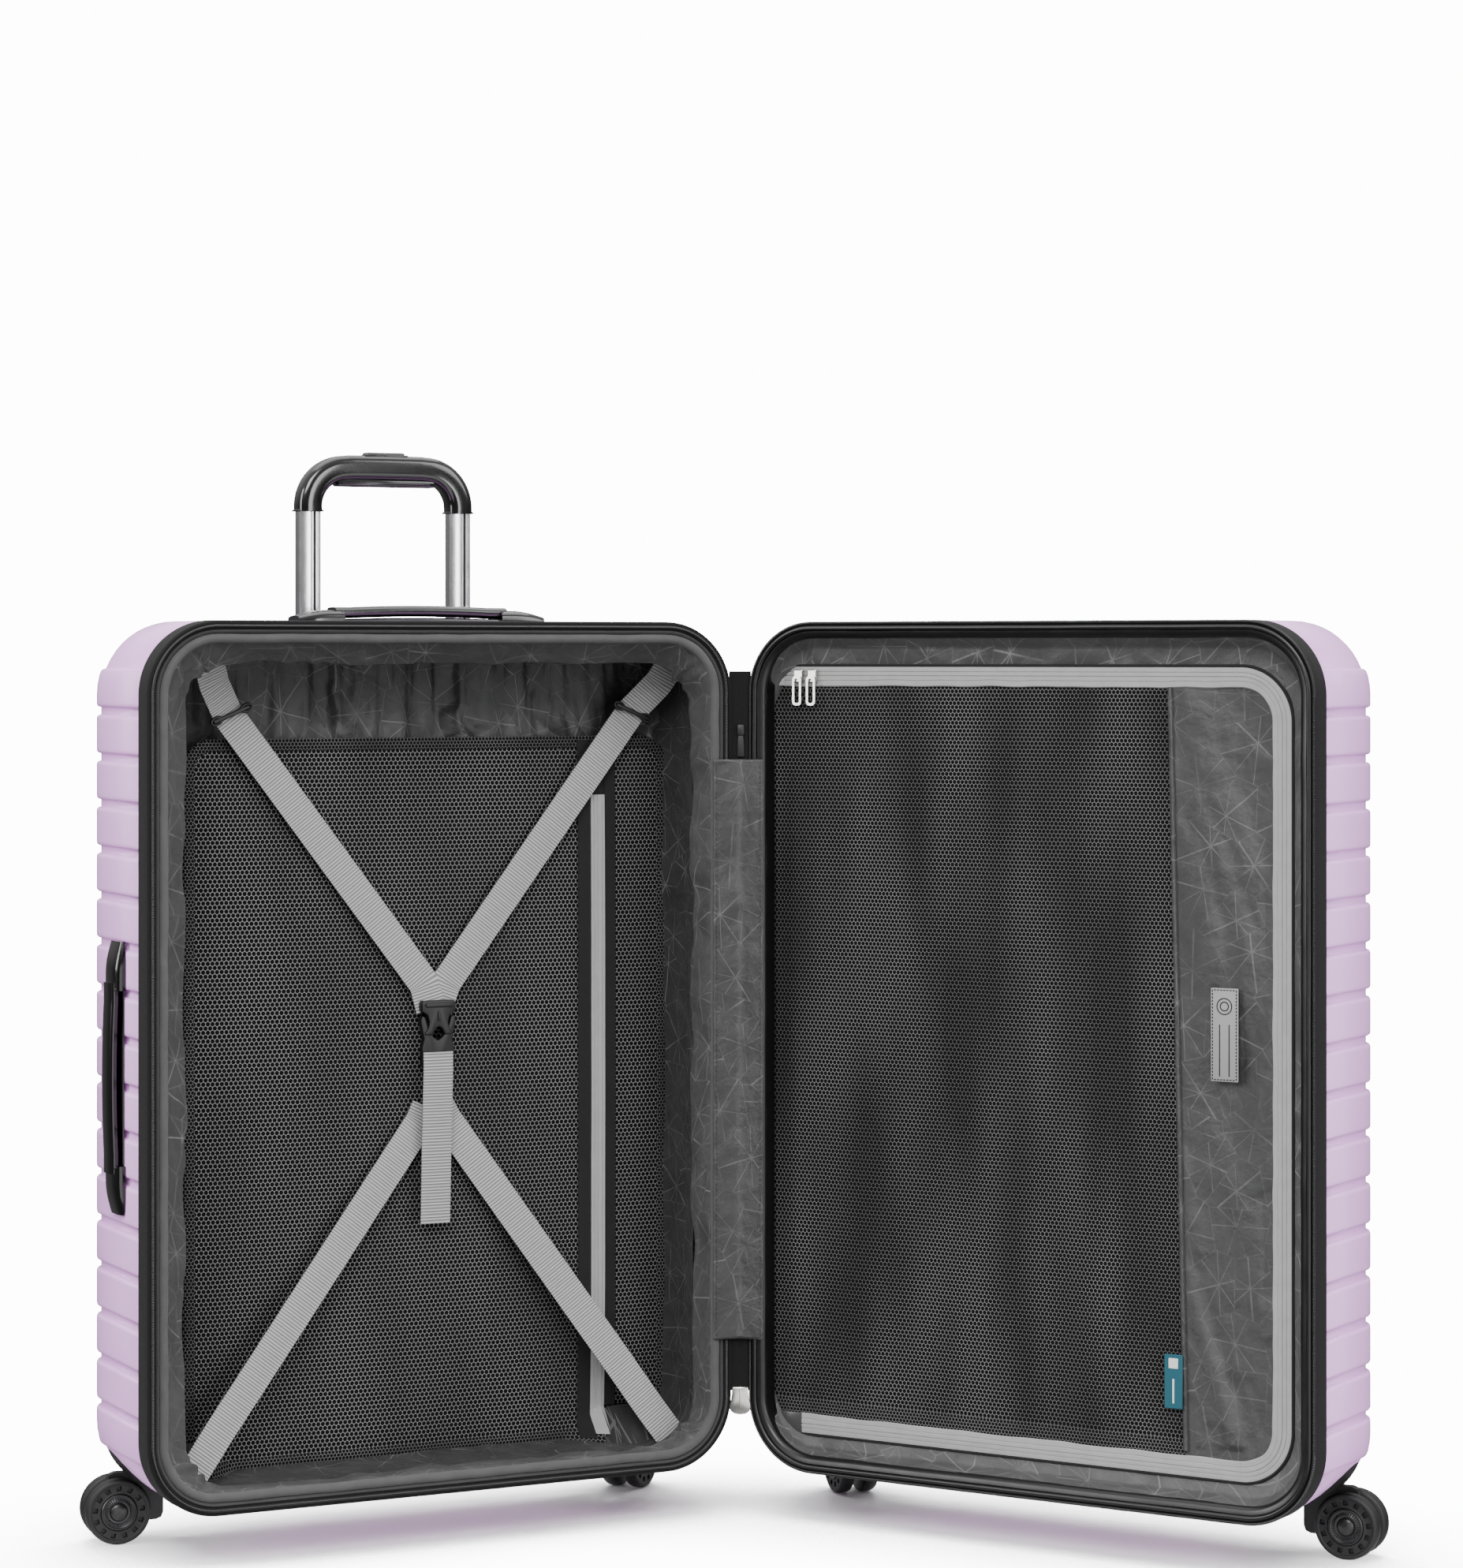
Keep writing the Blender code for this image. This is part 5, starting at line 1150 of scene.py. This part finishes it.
def makeCarryHandle(label, place):
    c = carryLook
    reach = c["length"] / 2
    parts = [boxMesh((c["length"] - 0.01, c["width"] - 0.006, c["plate"]), (0, 0, c["plate"] / 2), 0.0006, 2)]
    for end in (-1, 1):
        rows = []
        for t in np.linspace(0, 1, 14):
            rise = c["capRise"] * (0.45 + 0.55 * math.sin(min(t * 1.5, 1) * math.pi / 2))
            width = c["width"] * (0.86 + 0.14 * math.sin(min(t * 2.2, 1) * math.pi / 2))
            shape = roundProfile(width, rise * 2, 3.4, 36)
            x = end * (reach - c["cap"] * t)
            rows.append([(x, a, max(b, 0.0)) for a, b in shape])
        parts.append(gridMesh(np.array(rows), closeColumns=True, ends=True))
        lip = (end * (reach - c["cap"] + 0.001), 0, 0.0042)
        parts.append(boxMesh((0.0020, c["width"] - 0.004, 0.0080), lip, 0.0008, 2))
    hump = np.linspace(-c["humpReach"], c["humpReach"], 50)  # the low moulded rise under the grip
    rise = c["plate"] + c["humpRise"] * (1 - (hump / c["humpReach"]) ** 2)
    parts.append(gridMesh(np.array([[(x, a, max(b, 0.0003)) for a, b in roundProfile(c["width"] * 0.8, r * 2, 4.0, 36)]
                                    for x, r in zip(hump, rise)]), closeColumns=True, ends=True))
    put(f"{label}HandleBase", merged(*parts), "gloss", "rear_half", place, 45, (f"{label}_handle_base",),
        "gloss_black")
    span = c["length"] - 2 * c["cap"] + 0.012
    xs = np.linspace(-span / 2, span / 2, 60)
    crown = c["arch"] - c["thickness"] / 2
    low = c["capRise"] - 0.0030
    path = [(x, 0.0, low + (crown - low) * (1 - (2 * x / span) ** 2)) for x in xs]
    path = [(x, y, max(z, c["plate"] + 0.0006 + c["thickness"] / 2)) for x, y, z in path]
    bar = tube(path, roundProfile(c["gripWidth"], c["thickness"], 2.8, 36), up=(0, 0, 1))
    put(f"{label}HandleGrip", bar, "gloss", f"{label}_handle", place, 50, (f"{label}_handle_grip",), "gloss_black")


wheelLook = {"radius": 0.0260, "spacing": 0.0215, "trail": 0.029, "slots": 13}


def wheelMeshes():
    tyre = [(-0.00620, 0.0034), (-0.00620, 0.0235), (-0.0054, 0.0250), (-0.0034, 0.0258), (0.0, 0.0260),
            (0.0034, 0.0258), (0.0054, 0.0248), (0.0061, 0.0232), (0.0060, 0.0222), (0.0054, 0.0216), (0.0052, 0.0160),
            (0.0056, 0.0148), (0.0044, 0.0144), (0.0040, 0.0034)]
    holder = linked("wheel", lathe(tyre, 72))
    slots = []
    for k in range(wheelLook["slots"]):
        turn = Matrix.Rotation(math.tau * k / wheelLook["slots"], 4, "Y")
        slots.append(moved(boxMesh((0.0040, 0.0060, 0.0040), (0, 0, 0), 0.0004, 1),
                           turn @ Matrix.Translation((0, 0.0056, 0.0188))))
    cutter = linked("slots", merged(*slots))
    holder.modifiers.new("cut", "BOOLEAN").object = cutter
    tyreMesh = finished(holder)
    for thing in (holder, cutter):
        bpy.data.objects.remove(thing)
    ring = lathe([(0.0040, 0.0146), (0.0064, 0.0142), (0.0070, 0.0136), (0.0070, 0.0130), (0.0062, 0.0126),
                  (0.0048, 0.0092), (0.0046, 0.0074), (0.0060, 0.0068), (0.0068, 0.0056), (0.0074, 0.0030),
                  (0.0075, 0.0002)], 72)
    ribs = [moved(boxMesh((0.0006, 0.0012, 0.0040), (0, 0, 0)), Matrix.Rotation(math.tau * k / 36, 4, "Y")
                  @ Matrix.Translation((0, 0.0056, 0.0108)) @ Matrix.Rotation(0.42, 4, "X")) for k in range(36)]
    return tyreMesh, merged(ring, *ribs)


casterHeadings = {"rear_outer": ("rear", 0, 173.0), "rear_hinge": ("rear", 1, 40.0), "lid_hinge": ("lid", 0, 140.0),
                  "lid_outer": ("lid", 1, 5.0)}


def makeWheels():
    tyreMesh, hubMesh = wheelMeshes()
    for label, (halfName, index, heading) in casterHeadings.items():
        place, _, depth = halves[halfName]
        x, y = casterPlaces(depth)[index]
        hub = place @ Matrix.Translation((x, y, 0)) @ Matrix.Rotation(math.radians(heading), 4, "Z")
        hub = hub @ Matrix.Translation((wheelLook["trail"], 0, wheelLook["radius"]))
        for letter, way in (("a", -1), ("b", 1)):
            facing = hub @ Matrix.Translation((0, way * wheelLook["spacing"] / 2, 0))
            if way < 0:
                facing = facing @ Matrix.Rotation(math.pi, 4, "Z")
            body = f"wheel_{letter}_{label}"
            put(f"tyre.{label}.{letter}", tyreMesh.copy(), "tyre", body, facing, 35,
                (f"caster_{label}_wheel_{letter}",), "wheel_tread")
            put(f"hub.{label}.{letter}", hubMesh.copy(), "hub", body, facing, 35)


makeTelescopicHandle()
makeCarryHandle("top", rearPlace @ Matrix.Translation((0, carryLook["back"], case["top"] + 0.0003)))
makeCarryHandle("side", rearPlace @ Matrix.Translation((-side - 0.0003, carryLook["back"], carryLook["sideLevel"]))
                @ Matrix.Rotation(-math.pi / 2, 4, "Y"))
makeWheels()
print("handles and wheels made")


cameraLook = {"lens": 94.47, "eye": (-1.5193, -3.0036, 0.7022), "toward": (0.4495, 0.8933, 0.0), "shift": -0.0815}


def makeCamera():
    data = bpy.data.cameras.new("camera")
    data.lens = cameraLook["lens"]
    data.shift_y = cameraLook["shift"]
    camera = linked("camera", data)
    camera.location = cameraLook["eye"]
    camera.rotation_euler = Vector(cameraLook["toward"]).to_track_quat("-Z", "Y").to_euler()
    bpy.context.scene.camera = camera


lightLook = {"backdrop": 14.0, "low": 0.15, "high": 1.15, "key": 185.0, "fill": 78.0, "top": 75.0, "left": 85.0,
             "strip": 18.0, "bounce": 15.0}


def areaLight(name, place, target, size, power):
    data = bpy.data.lights.new(name, "AREA")
    data.shape = "RECTANGLE"
    data.size, data.size_y = size
    data.energy = power
    made = linked(name, data)
    made.location = place
    made.rotation_euler = (Vector(target) - Vector(place)).to_track_quat("-Z", "Y").to_euler()


def makeStudio():  # a bright backdrop, a sky that is dim at eye level and bright overhead, and six soft boxes
    world = bpy.data.worlds.new("studio")
    world.use_nodes = True
    tree = world.node_tree
    back = tree.nodes["Background"]
    up = node(tree, "SeparateXYZ", None, {0: node(tree, "TexCoord").outputs["Generated"]}).outputs[2]
    sky = ramp(tree, up, 0.0, 0.7, lightLook["low"], lightLook["high"])
    seen = node(tree, "LightPath").outputs["Is Camera Ray"]
    strength = node(tree, "Mix", {"data_type": "FLOAT", 3: lightLook["backdrop"]}, {0: seen, 2: sky})
    tree.links.new(strength.outputs[0], back.inputs["Strength"])
    back.inputs["Color"].default_value = (1, 1, 1, 1)
    bpy.context.scene.world = world
    areaLight("key", (-2.2, -3.2, 3.0), (-0.2, 0.0, 0.35), (2.4, 1.8), lightLook["key"])
    areaLight("fill", (2.4, -3.4, 2.4), (0.1, 0.0, 0.35), (2.0, 2.0), lightLook["fill"])
    areaLight("top", (0.0, 0.4, 3.2), (0.0, 0.0, 0.4), (3.0, 3.0), lightLook["top"])
    areaLight("strip", (0.62, -3.1, 0.90), (-0.40, 0.1, 0.80), (0.42, 1.2), lightLook["strip"])
    areaLight("bounce", (0.1, -1.5, 0.06), (0.0, 0.1, 0.75), (3.2, 0.8), lightLook["bounce"])
    areaLight("left", (-3.4, 0.2, 1.4), (-0.5, 0.1, 0.4), (1.6, 2.0), lightLook["left"])
    floor = linked("floor", gridMesh(np.array([[(x, y, 0.0) for y in (-4, 4)] for x in (4, -4)], float)))
    made, tree, shader, where = surface("paleFloor", "#F6F6F6", 0.45, space="Object")  # shows only near the case, as a painted soft shadow
    away = node(tree, "VectorMath", {"operation": "LENGTH"}, {0: where}).outputs["Value"]
    # ambient occlusion decides where the floor shows: a painted contact shadow near the case, fading to the backdrop
    # elsewhere
    openSky = node(tree, "AmbientOcclusion", {"samples": 8, "Distance": 0.20}).outputs["AO"]
    fade = maths(tree, "MAXIMUM", ramp(tree, away, 0.45, 1.25), ramp(tree, openSky, 0.45, 0.99))
    clear = node(tree, "BsdfTransparent")
    both = node(tree, "MixShader", None, {0: fade, 1: shader.outputs[0], 2: clear.outputs[0]})
    tree.links.new(both.outputs[0], tree.nodes["Material Output"].inputs["Surface"])
    floor.data.materials.append(made)


makeCamera()
makeStudio()
for name, made in nodes.items():  # the carried-over parts take a detailed finish by what they are
    made.data.materials.clear()
    key = "matt"
    if "tube" in name and "bracket" not in name:
        key = "aluminium"
    elif "axle" in name:
        key = "steel"
    elif "wheel" in name:
        key = "tyre"
    elif "slider" in name or "tab_" in name:
        key = "zinc"
    elif name in ("telescopic_grip", "top_handle_grip", "side_handle_grip"):
        key = "gloss"
    elif "lining" in name or "panel" in name:
        key = "darkSatin"
    elif "strap" in name:
        key = "webbing"
    made.data.materials.append(looks[key])

print("scene complete")
